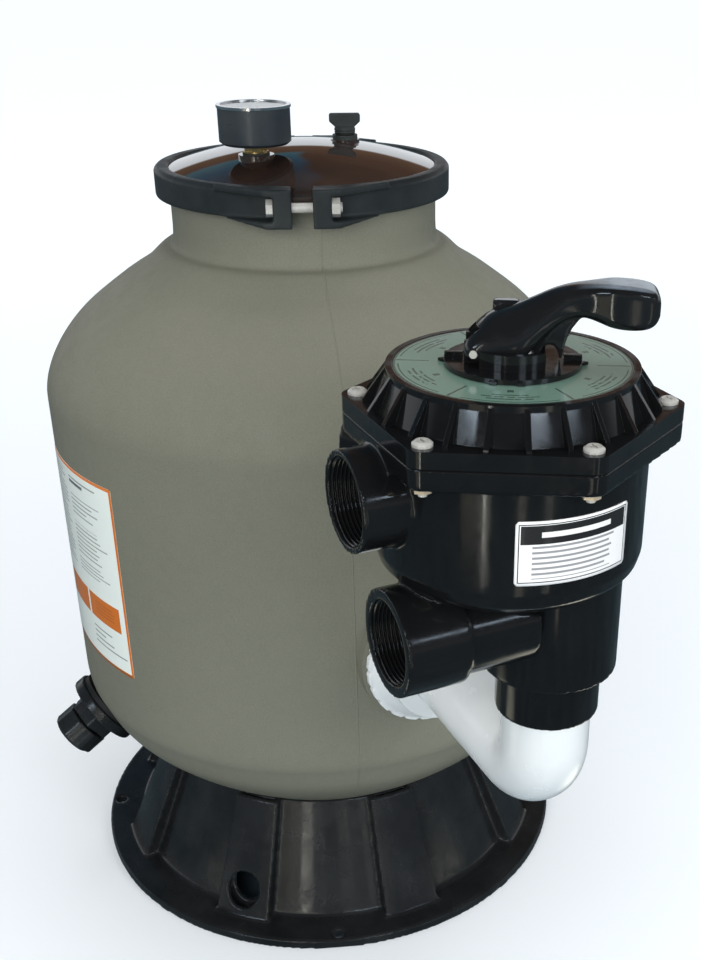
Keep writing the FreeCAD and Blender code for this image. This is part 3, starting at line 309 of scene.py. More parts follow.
def index_face():
    m = Mat("index_card")
    r, a, x, y = polar(m, V_AX.x, V_AX.y)
    base = m.mix(m.noise(30.0, 4.0, 0.6), (0.115, 0.205, 0.165), (0.155, 0.245, 0.200))
    off = (19.5 + 30.0) / 360.0
    t6 = m.math("FRACT", m.math("MULTIPLY", m.math("ADD", a, 1.0 - off), 6.0))   # 0.5 in the middle of a sector
    side = m.math("ABSOLUTE", m.math("SUBTRACT", t6, 0.5))
    div = m.math("MULTIPLY", m.math("GREATER_THAN", side, 0.487), between(m, r, 0.043, 0.060))
    arc = m.math("MULTIPLY", m.math("LESS_THAN", side, 0.40), between(m, r, 0.0582, 0.0590))
    bars = 0.0
    for k, (r0, w) in enumerate(((0.0540, 0.20), (0.0512, 0.26), (0.0484, 0.17))):
        band = m.math("MULTIPLY", between(m, r, r0, r0 + 0.0012), m.math("LESS_THAN", side, w))
        gap = m.math("GREATER_THAN", m.noise(310.0 + 40 * k, 1.0, 0.3), 0.40)
        bars = m.math("MAXIMUM", bars, m.math("MULTIPLY", band, gap))
    dot = m.math("MULTIPLY", m.math("LESS_THAN", side, 0.035), between(m, r, 0.0415, 0.0450))
    ink = m.math("MAXIMUM", m.math("MAXIMUM", div, arc), m.math("MAXIMUM", bars, dot))
    col = m.mix(m.math("MULTIPLY", ink, 0.8), base, (0.022, 0.048, 0.036))
    rim = m.math("GREATER_THAN", r, 0.0602)
    col = m.mix(rim, col, (0.05, 0.08, 0.065))
    m.set(Base_Color=col, Roughness=m.ramp(m.noise(200.0), 0.16, 0.28), Normal=m.bump(m.noise(70.0), 0.0001, 0.4))
    m.b.inputs["Coat Weight"].default_value = 0.6
    m.b.inputs["Coat Roughness"].default_value = 0.08
    return m.m


def printed(name, w, h, kind):
    """Film label from its own millimetre coordinates: plain blocks and plain grey rules, no lettering."""
    m = Mat(name)
    u, v, _ = m.uv()
    white = m.mix(m.noise(40.0, 4.0, 0.6), (0.84, 0.91, 0.86), (0.90, 0.95, 0.90)) if kind == "tank" else m.mix(m.noise(40.0, 4.0, 0.6), (0.80, 0.80, 0.80), (0.88, 0.88, 0.88))
    col = white

    def rect(a, b, c, d):
        return m.math("MULTIPLY", between(m, u, a, c), between(m, v, b, d))

    def frame_(inset, width):
        return m.math("SUBTRACT", rect(inset, inset, w - inset, h - inset), rect(inset + width, inset + width, w - inset - width, h - inset - width))

    def rules(a, b, c, d, pitch, thick, seed, ragged):
        row = m.math("FLOOR", m.math("DIVIDE", v, pitch))
        wn = m.t.nodes.new("ShaderNodeTexWhiteNoise")
        wn.noise_dimensions = "1D"
        m.put(wn.inputs["W"], m.math("ADD", row, seed))
        end = m.math("SUBTRACT", c, m.math("MULTIPLY", wn.outputs["Value"], ragged))
        line = m.math("LESS_THAN", m.math("FRACT", m.math("DIVIDE", v, pitch)), thick)
        return m.math("MULTIPLY", m.math("MULTIPLY", line, rect(a, b, 9e9, d)), m.math("LESS_THAN", u, end))

    if kind == "tank":
        orange = (0.66, 0.17, 0.012)
        ink = (0.13, 0.135, 0.14)
        for a, b, c, d, q, sd in ((46, 140, 92, 150, 4.2, 3.0), (46, 118, 96, 134, 3.6, 9.0), (46, 86, 100, 112, 3.6, 5.0), (46, 70, 98, 82, 3.0, 8.0), (10, 70, 40, 150, 3.4, 2.0)):
            col = m.mix(m.math("MULTIPLY", rules(a, b, c, d, q, 0.30, sd, (c - a) * 0.55), 0.75), col, ink)
        col = m.mix(rect(46, 143.5, 70, 145.5), col, ink)
        col = m.mix(rect(56, 36, 101, 57), col, orange)
        col = m.mix(m.math("MULTIPLY", rules(66, 40, 98, 54, 3.0, 0.25, 7.0, 16.0), 0.8), col, (0.33, 0.09, 0.01))
        col = m.mix(rect(9, 36, 53, 57), col, orange)
        col = m.mix(m.math("MULTIPLY", rules(58, 13, 104, 30, 4.5, 0.26, 1.0, 30.0), 0.8), col, ink)
        col = m.mix(frame_(0.0, 2.6), col, orange)
    else:
        col = m.mix(frame_(1.5, 0.55), col, (0.02, 0.02, 0.02))
        col = m.mix(rect(2.6, h - 12.4, w - 2.6, h - 2.4), col, (0.015, 0.015, 0.016))
        col = m.mix(rect(13, h - 8.9, w - 13, h - 6.0), col, (0.80, 0.80, 0.78))
        col = m.mix(m.math("MULTIPLY", rules(8.5, 3.6, w - 6.5, h - 13.4, 2.9, 0.42, 4.0, 10.0), 0.8), col, (0.14, 0.14, 0.15))
    m.set(Base_Color=col, Roughness=m.ramp(m.noise(300.0), 0.24, 0.36), Normal=m.bump(m.noise(60.0, 3.0), 0.00015, 0.35))
    m.b.inputs["Coat Weight"].default_value = 0.35
    return m.m


def pvc():
    m = Mat("white_pvc_gloss")
    n = m.noise(18.0, 4.0, 0.5)
    col = m.mix(m.ramp(n, 0.0, 1.0, 0.35, 0.7), (0.80, 0.82, 0.82), (0.72, 0.755, 0.77))
    grime = m.ramp(m.noise(70.0, 6.0, 0.75), 0.0, 0.5, 0.60, 0.85)
    col = m.mix(grime, col, (0.55, 0.55, 0.52))
    m.set(Base_Color=col, Roughness=m.ramp(m.noise(45.0, 4.0), 0.16, 0.30, 0.3, 0.7), Normal=m.bump(m.noise(30.0, 2.0), 0.0004, 0.25, m.round(0.0006)))
    m.b.inputs["Subsurface Weight"].default_value = 0.12
    m.b.inputs["Subsurface Radius"].default_value = (0.004, 0.004, 0.004)
    m.b.inputs["Subsurface Scale"].default_value = 1.0
    return m.m


M = {
    "tank_shell": tank_skin(),
    "base_black": plastic("base_satin_black", (0.0075, 0.0085, 0.0095), 0.20, 1100.0, 0.00002, 0.25, 0.0008, 0.0, wear=0.08, smudge=0.14, wave=0.00025),
    "lid_smoke": smoked_lid(),
    "clamp_black": plastic("clamp_matte_black", (0.0125, 0.0160, 0.0175), 0.42, 700.0, 0.00008, 0.35, 0.0007, 0.0, (0.030, 0.036, 0.037), 0.45, 0.12, 0.14),
    "valve_black": plastic("valve_gloss_black", (0.0048, 0.0050, 0.0054), 0.11, 1300.0, 0.000005, 0.15, 0.0005, 0.0, (0.011, 0.0115, 0.012), wear=0.04, smudge=0.13, wave=0.00006),
    "white_pvc": pvc(),
    "rubber_black": plastic("seal_rubber", (0.014, 0.014, 0.014), 0.62, 1300.0, 0.00006, 0.2, 0.0003),
    "steel": metal("zinc_steel", (0.66, 0.65, 0.61), 0.26, pure=0.42),
    "brass": metal("turned_brass", (0.70, 0.50, 0.22), 0.24, (1, 1, 9), 0.0003, 0.30, (0.20, 0.12, 0.05)),
    "gauge_case_black": plastic("gauge_can", (0.016, 0.022, 0.028), 0.30, 1800.0, 0.00002, 0.25, 0.0006, 0.0, (0.055, 0.062, 0.066), 0.5, 0.25),
    "chrome_bezel": metal("bright_chrome", (0.80, 0.81, 0.83), 0.10, (1, 1, 5), 0.0004, 0.06),
    "gauge_glass": glass(),
    "dial_white": dial_face(),
    "needle_black": plastic("needle_paint", (0.015, 0.015, 0.015), 0.35, 1500.0, 0.00002, 0.1, 0.0002),
    "plate_green": index_face(),
    "fitting_black": plastic("fitting_black", (0.008, 0.0095, 0.0105), 0.24, 1000.0, 0.00003, 0.25, 0.0005, 0.0, wear=0.10, smudge=0.14),
    "inner_grey": plastic("inner_abs_grey", (0.42, 0.43, 0.43), 0.42, 900.0, 0.00006, 0.2, 0.0005, 0.0, (0.50, 0.51, 0.50), wear=0.1),
}
slot_of = {s["node"]: s["material_slot"] for s in frame["record"]["subparts"]}
for name, o in nodes.items():
    o.data.materials.clear()
    o.data.materials.append(M[slot_of[name]])
# the lower nuts of the cover screws are brassy zinc
nodes["cover_nuts"].data.materials.clear()
nodes["cover_nuts"].data.materials.append(metal("yellow_zinc", (0.70, 0.58, 0.42), 0.30, (1, 1, 6), 0.0003, 0.35, (0.22, 0.12, 0.06), pure=0.45))
knob_mat = plastic("relief_matte", (0.022, 0.027, 0.026), 0.50, 800.0, 0.00008, 0.3, 0.0005, 0.0, (0.07, 0.075, 0.075), 0.4)
for n in ("relief_knob", "relief_body"):
    nodes[n].data.materials.clear()
    nodes[n].data.materials.append(knob_mat)



def lever_skin():
    """Gloss black, with a painted pale sky reflection, broken up by noise, on the flat upper face of the grip."""
    m = Mat("lever_gloss_black")
    col = m.mix(m.noise(22.0, 4.0, 0.6), (0.0050, 0.0054, 0.0060), (0.011, 0.012, 0.013))
    g = m.t.nodes.new("ShaderNodeNewGeometry")
    sp = m.t.nodes.new("ShaderNodeSeparateXYZ")
    m.t.links.new(g.outputs["Normal"], sp.inputs[0])
    # painted reflection: up-facing faces from 30 mm out from the stem axis, full beyond 48 mm, get a pale bluish
    # colour in place of a sky highlight
    up = m.ramp(sp.outputs["Z"], 0.0, 1.0, 0.80, 0.97)
    x, y, z = m.xyz()
    ax, ay = m.math("SUBTRACT", x, V_AX.x), m.math("SUBTRACT", y, V_AX.y)
    out = m.ramp(m.math("SQRT", m.math("ADD", m.math("MULTIPLY", ax, ax), m.math("MULTIPLY", ay, ay))), 0.0, 1.0, 0.030, 0.048)
    painted_sheen_breakup = m.ramp(m.noise(70.0, 5.0, 0.65), 0.62, 1.0, 0.35, 0.7)
    col = m.mix(m.math("MULTIPLY", m.math("MULTIPLY", up, out), painted_sheen_breakup), col, (0.185, 0.225, 0.270))
    sm = m.noise(60.0, 5.0, 0.65, distort=0.6)
    m.set(Base_Color=col, Roughness=m.ramp(sm, 0.07, 0.20, 0.3, 0.75), Normal=m.bump(m.noise(26.0, 1.0, 0.4), 0.00006, 0.35))
    return m.m


# ------------------------------------------------------------------ mesh helpers


def new_mesh(name, verts, faces, mat, body, smooth=True, uv=None):
    me = bpy.data.meshes.new(name)
    me.from_pydata([tuple(v) for v in verts], [], faces)
    me.validate()
    if uv is not None:
        layer = me.uv_layers.new(name="UVMap")
        for poly in me.polygons:
            for li in poly.loop_indices:
                layer.data[li].uv = uv[me.loops[li].vertex_index]
    o = bpy.data.objects.new(name, me)
    bpy.context.scene.collection.objects.link(o)
    me.materials.append(mat)
    if smooth:
        for p in me.polygons:
            p.use_smooth = True
    if body:
        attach(o, body)
    return o


def soften(name, voxel, rounds=4, factor=0.5, extra=()):
    """Round a moulded piece's edges: weld, optional cuts, fine remesh, then smooth."""
    o = nodes[name]
    w = o.modifiers.new("weld", "WELD")
    w.merge_threshold = 1e-6
    for cutter in extra:
        b = o.modifiers.new("cut", "BOOLEAN")
        b.operation = "DIFFERENCE"
        b.solver = "EXACT"
        b.object = cutter
    r = o.modifiers.new("remesh", "REMESH")
    r.mode = "VOXEL"
    r.voxel_size = voxel * 1.0
    r.use_smooth_shade = True
    s = o.modifiers.new("smooth", "SMOOTH")
    s.factor = factor
    s.iterations = rounds
    return o


def grid_faces(nu, nv, wrap_u=False, wrap_v=False):
    f = []
    for i in range(nu if wrap_u else nu - 1):
        for j in range(nv if wrap_v else nv - 1):
            a, b = i * nv + j, ((i + 1) % nu) * nv + j
            c, d = ((i + 1) % nu) * nv + (j + 1) % nv, i * nv + (j + 1) % nv
            f.append((a, b, c, d))
    return f


def axis_frame(axis):
    z = Vector(axis).normalized()
    x = z.orthogonal().normalized()
    return x, z.cross(x), z


def cylinder_obj(name, base, axis, r, h, n=96):
    x, y, z = axis_frame(axis)
    verts, faces = [], []
    for k in (0, 1):
        for i in range(n):
            a = 2 * math.pi * i / n
            verts.append(base + z * (h * k) + (x * math.cos(a) + y * math.sin(a)) * r)
    faces = [(i, (i + 1) % n, n + (i + 1) % n, n + i) for i in range(n)] + [tuple(range(n))[::-1], tuple(range(n, 2 * n))]
    me = bpy.data.meshes.new(name)
    me.from_pydata([tuple(v) for v in verts], [], faces)
    o = bpy.data.objects.new(name, me)
    bpy.context.scene.collection.objects.link(o)
    o.hide_render = True
    o.hide_viewport = True
    return o


# ------------------------------------------------------------------ threads in the three open ports
W = (math.cos(math.radians(120)), math.sin(math.radians(120)))
PORTS = (
    ("pump_port", g(HX - 95, HY, 476.5), gd(1, 0)),
    ("return_port", g(-101, -381, 398), gd(1, 0)),
    ("waste_port", g(HX + W[0] * 95, HY + W[1] * 95, 476.5), gd(-W[0], -W[1])),
)
PITCH, MINOR, MAJOR = 2.309 * MM, 22.42 * MM, 23.75 * MM
cutters = []
for name, mouth, inward in PORTS:
    cutters.append(cylinder_obj("cut_" + name, mouth + inward * 1.75 * MM, inward, 24.05 * MM, 24.1 * MM))
    x, y, z = axis_frame(inward)
    nu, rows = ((72, 100))
    verts = []
    L0, L1 = 1.7 * MM, 25.9 * MM
    for i in range(nu):
        th = 2 * math.pi * i / nu
        rad = x * math.cos(th) + y * math.sin(th)
        prof = []
        for j in range(rows):
            s = L0 + (L1 - L0) * j / (rows - 1)
            ph = (s / PITCH - th / (2 * math.pi)) % 1.0
            tri = min(1.0, max(0.0, abs(ph - 0.5) * 2 * 1.35 - 0.17))
            fade = min(1.0, (s - L0) / (1.2 * MM), (L1 - s) / (1.5 * MM))
            r = MAJOR - (MAJOR - MINOR) * (1 - tri) * max(0.0, fade)
            prof.append((s, r))
        prof += [(L1, 24.35 * MM), (L0, 24.35 * MM)]
        for s, r in prof:
            verts.append(mouth + z * s + rad * r)
    faces = grid_faces(nu, rows + 2, True, True)
    new_mesh("thread_" + name, verts, faces, M["valve_black"], "tank")

# ------------------------------------------------------------------ softened CAD pieces
soften("valve_body", 0.0011, 5, 0.5, cutters)
soften("clamp_half_left", 0.0009, 4)
soften("clamp_half_right", 0.0009, 4)
soften("lower_union_nut", 0.0008, 4)
soften("upper_union_nut", 0.0010, 4)
soften("base_skirt", 0.0014, 3)
soften("relief_knob", 0.00035, 8)
soften("drain_cap", 0.0006, 4)
soften("drain_bulkhead", 0.0007, 4)
soften("elbow_pipe", 0.0012, 5)

# ------------------------------------------------------------------ lever, built as one moulded form round the CAD lever
LA = math.radians(-10.5)
L_S, L_T = Vector((math.cos(LA), math.sin(LA), 0)), Vector((-math.sin(LA), math.cos(LA), 0))


def lp_(s, t, z):
    return Vector((V_AX.x, V_AX.y, 0)) + L_S * (s * MM) + L_T * (t * MM) + Vector((0, 0, z * MM))


def loft(stations, n=40):
    """stations: s, half width, centre z, half height up, half height down, exponent up, exponent down."""
    verts, faces = [], []
    for s, w, zc, hu, hd, nu, nd in stations:
        for i in range(n):
            a = 2 * math.pi * i / n
            c, q = math.cos(a), math.sin(a)
            e = nu if q >= 0 else nd
            h = hu if q >= 0 else hd
            verts.append(lp_(s, w * math.copysign(abs(c) ** (2 / e), c), zc + h * math.copysign(abs(q) ** (2 / e), q)))
    k = len(stations)
    faces = [tuple(v) for v in grid_faces(k, n, False, True)]
    faces += [tuple(range(n)), tuple(range(k * n - 1, (k - 1) * n - 1, -1))]
    return verts, faces


# distance along the lever, half width, top, widest level, bottom, exponent above, exponent below
LEVER = [
    (-24.9, 9.5, 549.0, 545.4, 542.8, 2.2, 4), (-24.4, 13.0, 550.8, 545.4, 542.0, 2.2, 5), (-22.9, 15.6, 553.0, 545.4, 541.5, 2.2, 6), (-19.6, 17.0, 556.6, 545.4, 541.3, 2.2, 7),
    (-14.0, 17.2, 561.6, 545.4, 541.3, 2.25, 7), (-8.0, 17.2, 564.4, 545.4, 541.3, 2.25, 7), (-2.0, 17.2, 566.0, 546.0, 541.3, 2.2, 7), (3.0, 16.6, 568.0, 547.6, 541.6, 2.1, 6),
    (7.0, 15.4, 569.8, 550.4, 543.6, 2.0, 5), (11.0, 13.8, 571.6, 554.2, 547.6, 2.0, 4), (15.5, 12.2, 573.8, 558.6, 552.6, 2.1, 3.4), (20.0, 11.0, 575.6, 562.6, 557.4, 2.3, 3.2),
    (25.0, 10.2, 577.0, 566.2, 560.8, 2.7, 3.2), (30.0, 9.9, 577.9, 568.4, 562.4, 3.2, 3.2), (35.0, 9.9, 578.4, 569.4, 562.2, 3.8, 3.4), (39.5, 10.4, 578.8, 569.2, 561.0, 4.6, 3.6),
    (43.5, 11.5, 579.1, 568.6, 559.6, 5.6, 4.0), (47.5, 12.7, 579.3, 568.0, 558.2, 6.5, 4.4), (52.0, 13.3, 579.2, 567.6, 557.4, 7.0, 4.8), (58.0, 13.5, 578.8, 567.4, 557.0, 7.0, 5.0),
    (63.0, 13.4, 578.2, 567.4, 557.2, 7.0, 5.0), (67.0, 13.0, 577.4, 567.4, 558.0, 6.5, 4.8), (69.6, 12.3, 576.4, 567.6, 559.4, 5.5, 4.4), (71.0, 11.2, 574.8, 567.8, 561.2, 4.6, 4.0), (71.7, 9.4, 572.6, 567.8, 563.4, 3.6, 3.6),
]


def interp(keys, count):
    """Smoothly resample the stations along the lever."""
    k = np.array(keys, float)
    d = np.r_[0, np.cumsum(np.hypot(np.diff(k[:, 0]), np.diff(k[:, 1])) + 0.3)]
    t = np.linspace(0, d[-1], count)
    out = np.stack([np.interp(t, d, k[:, c]) for c in range(k.shape[1])], 1)
    for _ in range(3):
        out[1:-1] = 0.5 * out[1:-1] + 0.25 * (out[:-2] + out[2:])
    return [(a, w, m, top - m, m - bot, nu, nd) for a, w, top, m, bot, nu, nd in out]


verts, faces = [], []


def add_part(v, f):
    base = len(verts)
    verts.extend(v)
    faces.extend([tuple(base + i for i in q) for q in f])


add_part(*loft(interp(LEVER, 90), 64))
# central web between the neck and the hub, with two arched cut-outs along its lower edge
web = [(-2, 541.2)] + [(5.5 - 5.8 * math.cos(math.pi * k / 10), 541.2 + 6.6 * math.sin(math.pi * k / 10)) for k in range(11)] + [(18.2 - 4.9 * math.cos(math.pi * k / 10), 541.2 + 7.4 * math.sin(math.pi * k / 10)) for k in range(11)] + [(24.4, 541.2), (25.3, 546.5), (26.8, 552.0), (29.2, 557.2), (32.6, 561.8), (36.5, 564.5), (30, 568), (10, 562), (-2, 556)]
wv = [lp_(a, -7.4, b) for a, b in web] + [lp_(a, 7.4, b) for a, b in web]
nw = len(web)
wf = [tuple(range(nw)), tuple(range(2 * nw - 1, nw - 1, -1))] + [(i, nw + i, nw + (i + 1) % nw, (i + 1) % nw) for i in range(nw)]
add_part(wv, wf)
# small stop block on the back of the head
tab = [(-11.0, 560.5), (-11.0, 567.8), (2.2, 567.8), (2.2, 560.5)]
tv = [lp_(a, 3.0, b) for a, b in tab] + [lp_(a, 13.0, b - 1.2 * (k in (1, 2))) for k, (a, b) in enumerate(tab)]
add_part(tv, [(0, 1, 2, 3), (7, 6, 5, 4), (0, 4, 5, 1), (1, 5, 6, 2), (2, 6, 7, 3), (3, 7, 4, 0)])
lever = new_mesh("lever_form", verts, faces, lever_skin(), None)
rm = lever.modifiers.new("remesh", "REMESH")
rm.mode, rm.voxel_size, rm.use_smooth_shade = "VOXEL", 0.0007 * 1.0, True
smo = lever.modifiers.new("smooth", "SMOOTH")
smo.factor, smo.iterations = 0.6, 7
# the hollow that clears the stem and the hub ears
cv = [lp_(a, b, c) for c in (535, 557.0) for a, b in ((-27.0, -10.4), (8.6, -10.4), (8.6, 10.4), (-27.0, 10.4))]
cme = bpy.data.meshes.new("cut_lever")
cme.from_pydata([tuple(v) for v in cv], [], [(3, 2, 1, 0), (4, 5, 6, 7), (0, 1, 5, 4), (1, 2, 6, 5), (2, 3, 7, 6), (3, 0, 4, 7)])
cut = bpy.data.objects.new("cut_lever", cme)
bpy.context.scene.collection.objects.link(cut)
cut.hide_render = cut.hide_viewport = True
bm_ = lever.modifiers.new("hollow", "BOOLEAN")
bm_.operation, bm_.solver, bm_.object = "DIFFERENCE", "EXACT", cut
dg = bpy.context.evaluated_depsgraph_get()
done = bpy.data.meshes.new_from_object(lever.evaluated_get(dg))
lever.modifiers.clear()
lever.data = done
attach(lever, "lever")
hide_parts("valve_lever")

# the rotor spring, which shortens towards the thrust washer as the lever lifts the rotor, is copied here as a separate
# steel coil on the tank body
coil = bpy.data.objects.new("spring_coil", nodes["rotor_spring"].data.copy())
bpy.context.scene.collection.objects.link(coil)
coil.matrix_world = nodes["rotor_spring"].matrix_world.copy()
coil.data.materials.clear()
coil.data.materials.append(M["steel"])
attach(coil, "tank")
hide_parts("rotor_spring")
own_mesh(coil)

# ------------------------------------------------------------------ tank mould line and labels
me = nodes["tank_shell"].data
tree = BVHTree.FromPolygons([v.co.copy() for v in me.vertices], [tuple(p.vertices) for p in me.polygons])


def shell_point(az, z):
    d = Vector((math.cos(az), math.sin(az), 0))
    hit, nrm, _, _ = tree.ray_cast(d * 0.5 + Vector((0, 0, z)), -d)
    return (hit, nrm if nrm.dot(d) > 0 else -nrm) if hit else (None, None)


def mould_line(name, deg):
    az = math.radians(deg)
    tang = Vector((-math.sin(az), math.cos(az), 0))
    pts = []
    z = 0.062
    rnd = random.Random(3)
    while z < 0.557:
        p, nn = shell_point(az, z)
        if p is not None:
            pts.append((p, nn))
        z += 0.0022
    verts = []
    for k, (p, nn) in enumerate(pts):
        wob = 0.00010 * math.sin(k * 0.7) + rnd.uniform(-1, 1) * 0.00012
        hgt = 0.00034 + rnd.uniform(-1, 1) * 0.00007
        for off, up in ((-0.0009, -0.0004), (-0.0007, 0.00002), (-0.0003, hgt * 0.8), (0.0, hgt), (0.0003, hgt * 0.8), (0.0007, 0.00002), (0.0009, -0.0004)):
            verts.append(p + tang * (off + wob) + nn * up)
    faces = grid_faces(len(pts), 7, False, True)
    n7 = len(pts) * 7
    faces += [tuple(range(7)), tuple(range(n7 - 1, n7 - 8, -1))]
    new_mesh(name, verts, faces, M["tank_shell"], "tank")


mould_line("mould_line_front", -84.0)
mould_line("mould_line_back", 96.0)


def film(name, centre, radius, a0, a1, z0, z1, mat, body, corner=3.0, lift=0.12, thick=0.10, n=64, m=48):
    """A thin curved label with rounded corners; a0..a1 in degrees, lengths in mm."""
    arc = math.radians(a1 - a0) * radius
    h = z1 - z0
    outer, inner, uv = [], [], []
    for i in range(n):
        u = arc * i / (n - 1)
        inset = 0.0
        e = min(u, arc - u)
        if e < corner:
            inset = corner - math.sqrt(max(0.0, corner ** 2 - (corner - e) ** 2))
        for j in range(m):
            v = inset + (h - 2 * inset) * j / (m - 1)
            a = math.radians(a0) + u / radius
            for lst, r in ((outer, radius + lift + thick), (inner, radius + lift * 0.2)):
                lst.append(centre + Vector((math.cos(a) * r * MM, math.sin(a) * r * MM, (z0 + v) * MM)))
            uv.append((u, v))
    verts = outer + inner
    N = n * m
    faces = grid_faces(n, m)
    faces += [tuple(N + k for k in f[::-1]) for f in faces]
    ring = [i * m for i in range(n)] + [(n - 1) * m + j for j in range(1, m)] + [i * m + m - 1 for i in range(n - 2, -1, -1)] + [j for j in range(m - 2, 0, -1)]
    for k in range(len(ring)):
        a, b = ring[k], ring[(k + 1) % len(ring)]
        faces.append((a, N + a, N + b, b))
    return new_mesh(name, verts, faces, mat, body, True, uv + uv), arc, h


lab = printed("tank_label_print", math.radians(31.0) * 203, 156.0, "tank")
film("tank_label", Vector((0, 0, 0)), 203.0, -166.2, -135.2, 227.5, 383.5, lab, "tank", 0.6, 0.15, 0.12, 64, 48)
lab2 = printed("valve_label_print", math.radians(51) * 73, 35.0, "valve")
film("valve_label", Vector((V_AX.x, V_AX.y, 0)), 73.0, -96.7, -45.7, 446.2, 481.2, lab2, "tank", 1.6, 0.30, 0.15, 48, 24)

# gauge numerals: plain numbers
for k in range(7):
    val = k * 10
    ang = math.radians(222 - 45 * k)
    cu = bpy.data.curves.new("dial_number_%02d" % val, "FONT")
    cu.body = str(val)
    cu.size = 0.0042
    cu.align_x = "CENTER"
    cu.align_y = "CENTER"
    cu.extrude = 0.00004
    t = bpy.data.objects.new("dial_number_%02d" % val, cu)
    bpy.context.scene.collection.objects.link(t)
    cu.materials.append(M["needle_black"])
    # the dial reads from the front of the tank
    t.location = (-0.032 + 0.0142 * math.cos(ang), -0.042 + 0.0142 * math.sin(ang), 0.61285)
    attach(t, "tank")

# ------------------------------------------------------------------ floor, light, camera
fl = Mat("studio_floor")
fc = fl.mix(fl.noise(1.2, 3.0), (0.76, 0.80, 0.83), (0.80, 0.83, 0.86))
dist = fl.math("SQRT", fl.math("ADD", fl.math("POWER", fl.xyz()[0], 2.0), fl.math("POWER", fl.xyz()[1], 2.0)))
fl.set(Base_Color=fc, Roughness=fl.ramp(fl.noise(6.0), 0.55, 0.7), Normal=fl.bump(fl.noise(400.0), 0.0002, 0.2))
fl.b.inputs["Specular IOR Level"].default_value = 0.1
# painted light: for camera rays the floor glows, more strongly away from the tank (strength 0.35 at 0.16 m rising to
# 2.6 at 0.60 m); inside 0.19 m of the axis it has no glow and a dark blue-grey colour, a painted shade disc under the
# base
fl.b.inputs["Emission Color"].default_value = (0.90, 0.95, 1.0, 1)
outside_shade_disc = fl.ramp(dist, 0.0, 1.0, 0.190, 0.200)
fl.put(fl.b.inputs["Emission Strength"], fl.math("MULTIPLY", outside_shade_disc, fl.ramp(dist, 0.16, 0.60, 0.35, 2.6)))
fl.put(fl.b.inputs["Base Color"], fl.mix(outside_shade_disc, (0.050, 0.075, 0.100), fc))


def floor_node(kind):
    return fl.t.nodes.new(kind)


# for rays other than camera rays: a darker diffuse copy of the floor for bounce light, and for glossy rays a painted
# reflection: the floor glows dark blue-grey, with two warm bright spots at x 0.35 m and -0.37 m, y -0.30 m, that paint
# highlights on the base panels
f_lp, f_dif, f_em, f_m1, f_m2 = floor_node("ShaderNodeLightPath"), floor_node("ShaderNodeBsdfDiffuse"), floor_node("ShaderNodeEmission"), floor_node("ShaderNodeMixShader"), floor_node("ShaderNodeMixShader")
fl.put(f_dif.inputs[0], fl.mix(fl.noise(3.0, 2.0), (0.24, 0.31, 0.35), (0.29, 0.35, 0.39)))
floor_painted_reflection = fl.mix(fl.ramp(fl.noise(9.0, 3.0, 0.6), 0.0, 1.0, 0.4, 0.62), (0.050, 0.085, 0.105), (0.105, 0.150, 0.170))
gx, gy = fl.xyz()[0], fl.math("ADD", fl.xyz()[1], 0.30)
for side_x, tint in ((0.35, (2.5, 2.4, 2.0)), (-0.37, (1.5, 1.45, 1.2))):
    ox = fl.math("SUBTRACT", gx, side_x)
    away = fl.math("SQRT", fl.math("ADD", fl.math("MULTIPLY", ox, ox), fl.math("MULTIPLY", gy, gy)))
    floor_painted_reflection = fl.mix(fl.ramp(away, 1.0, 0.0, 0.05, 0.13), floor_painted_reflection, tint)
fl.put(f_em.inputs[0], floor_painted_reflection)
fl.t.links.new(f_lp.outputs["Is Glossy Ray"], f_m1.inputs[0])
fl.t.links.new(f_dif.outputs[0], f_m1.inputs[1])
fl.t.links.new(f_em.outputs[0], f_m1.inputs[2])
fl.t.links.new(f_lp.outputs["Is Camera Ray"], f_m2.inputs[0])
fl.t.links.new(f_m1.outputs[0], f_m2.inputs[1])
fl.t.links.new(fl.b.outputs[0], f_m2.inputs[2])
fl.t.links.new(f_m2.outputs[0], fl.out.inputs[0])
n = 96
fv = [Vector((60.0 * math.cos(2 * math.pi * i / n), 60.0 * math.sin(2 * math.pi * i / n), 0)) for i in range(n)]
floor = new_mesh("studio_floor", fv, [tuple(range(n))], fl.m, None, False)
floor.location.z = -0.0002

world = bpy.data.worlds.new("studio")
bpy.context.scene.world = world
world.use_nodes = True
wt = world.node_tree
wt.nodes.clear()


def wn(kind, **kw):
    n_ = wt.nodes.new(kind)
    for k_, v_ in kw.items():
        setattr(n_, k_, v_)
    return n_


def background(colour, strength):
    b_ = wn("ShaderNodeBackground")
    if isinstance(colour, bpy.types.NodeSocket):
        wt.links.new(colour, b_.inputs[0])
    else:
        b_.inputs[0].default_value = tuple(colour) + (1,)
    b_.inputs[1].default_value = strength
    return b_.outputs[0]


def blend_shader(fac, a_, b_):
    m_ = wn("ShaderNodeMixShader")
    wt.links.new(fac, m_.inputs[0])
    wt.links.new(a_, m_.inputs[1])
    wt.links.new(b_, m_.inputs[2])
    return m_.outputs[0]


lp = wn("ShaderNodeLightPath")
tc = wn("ShaderNodeTexCoord")
sx = wn("ShaderNodeSeparateXYZ")
wt.links.new(tc.outputs["Generated"], sx.inputs[0])


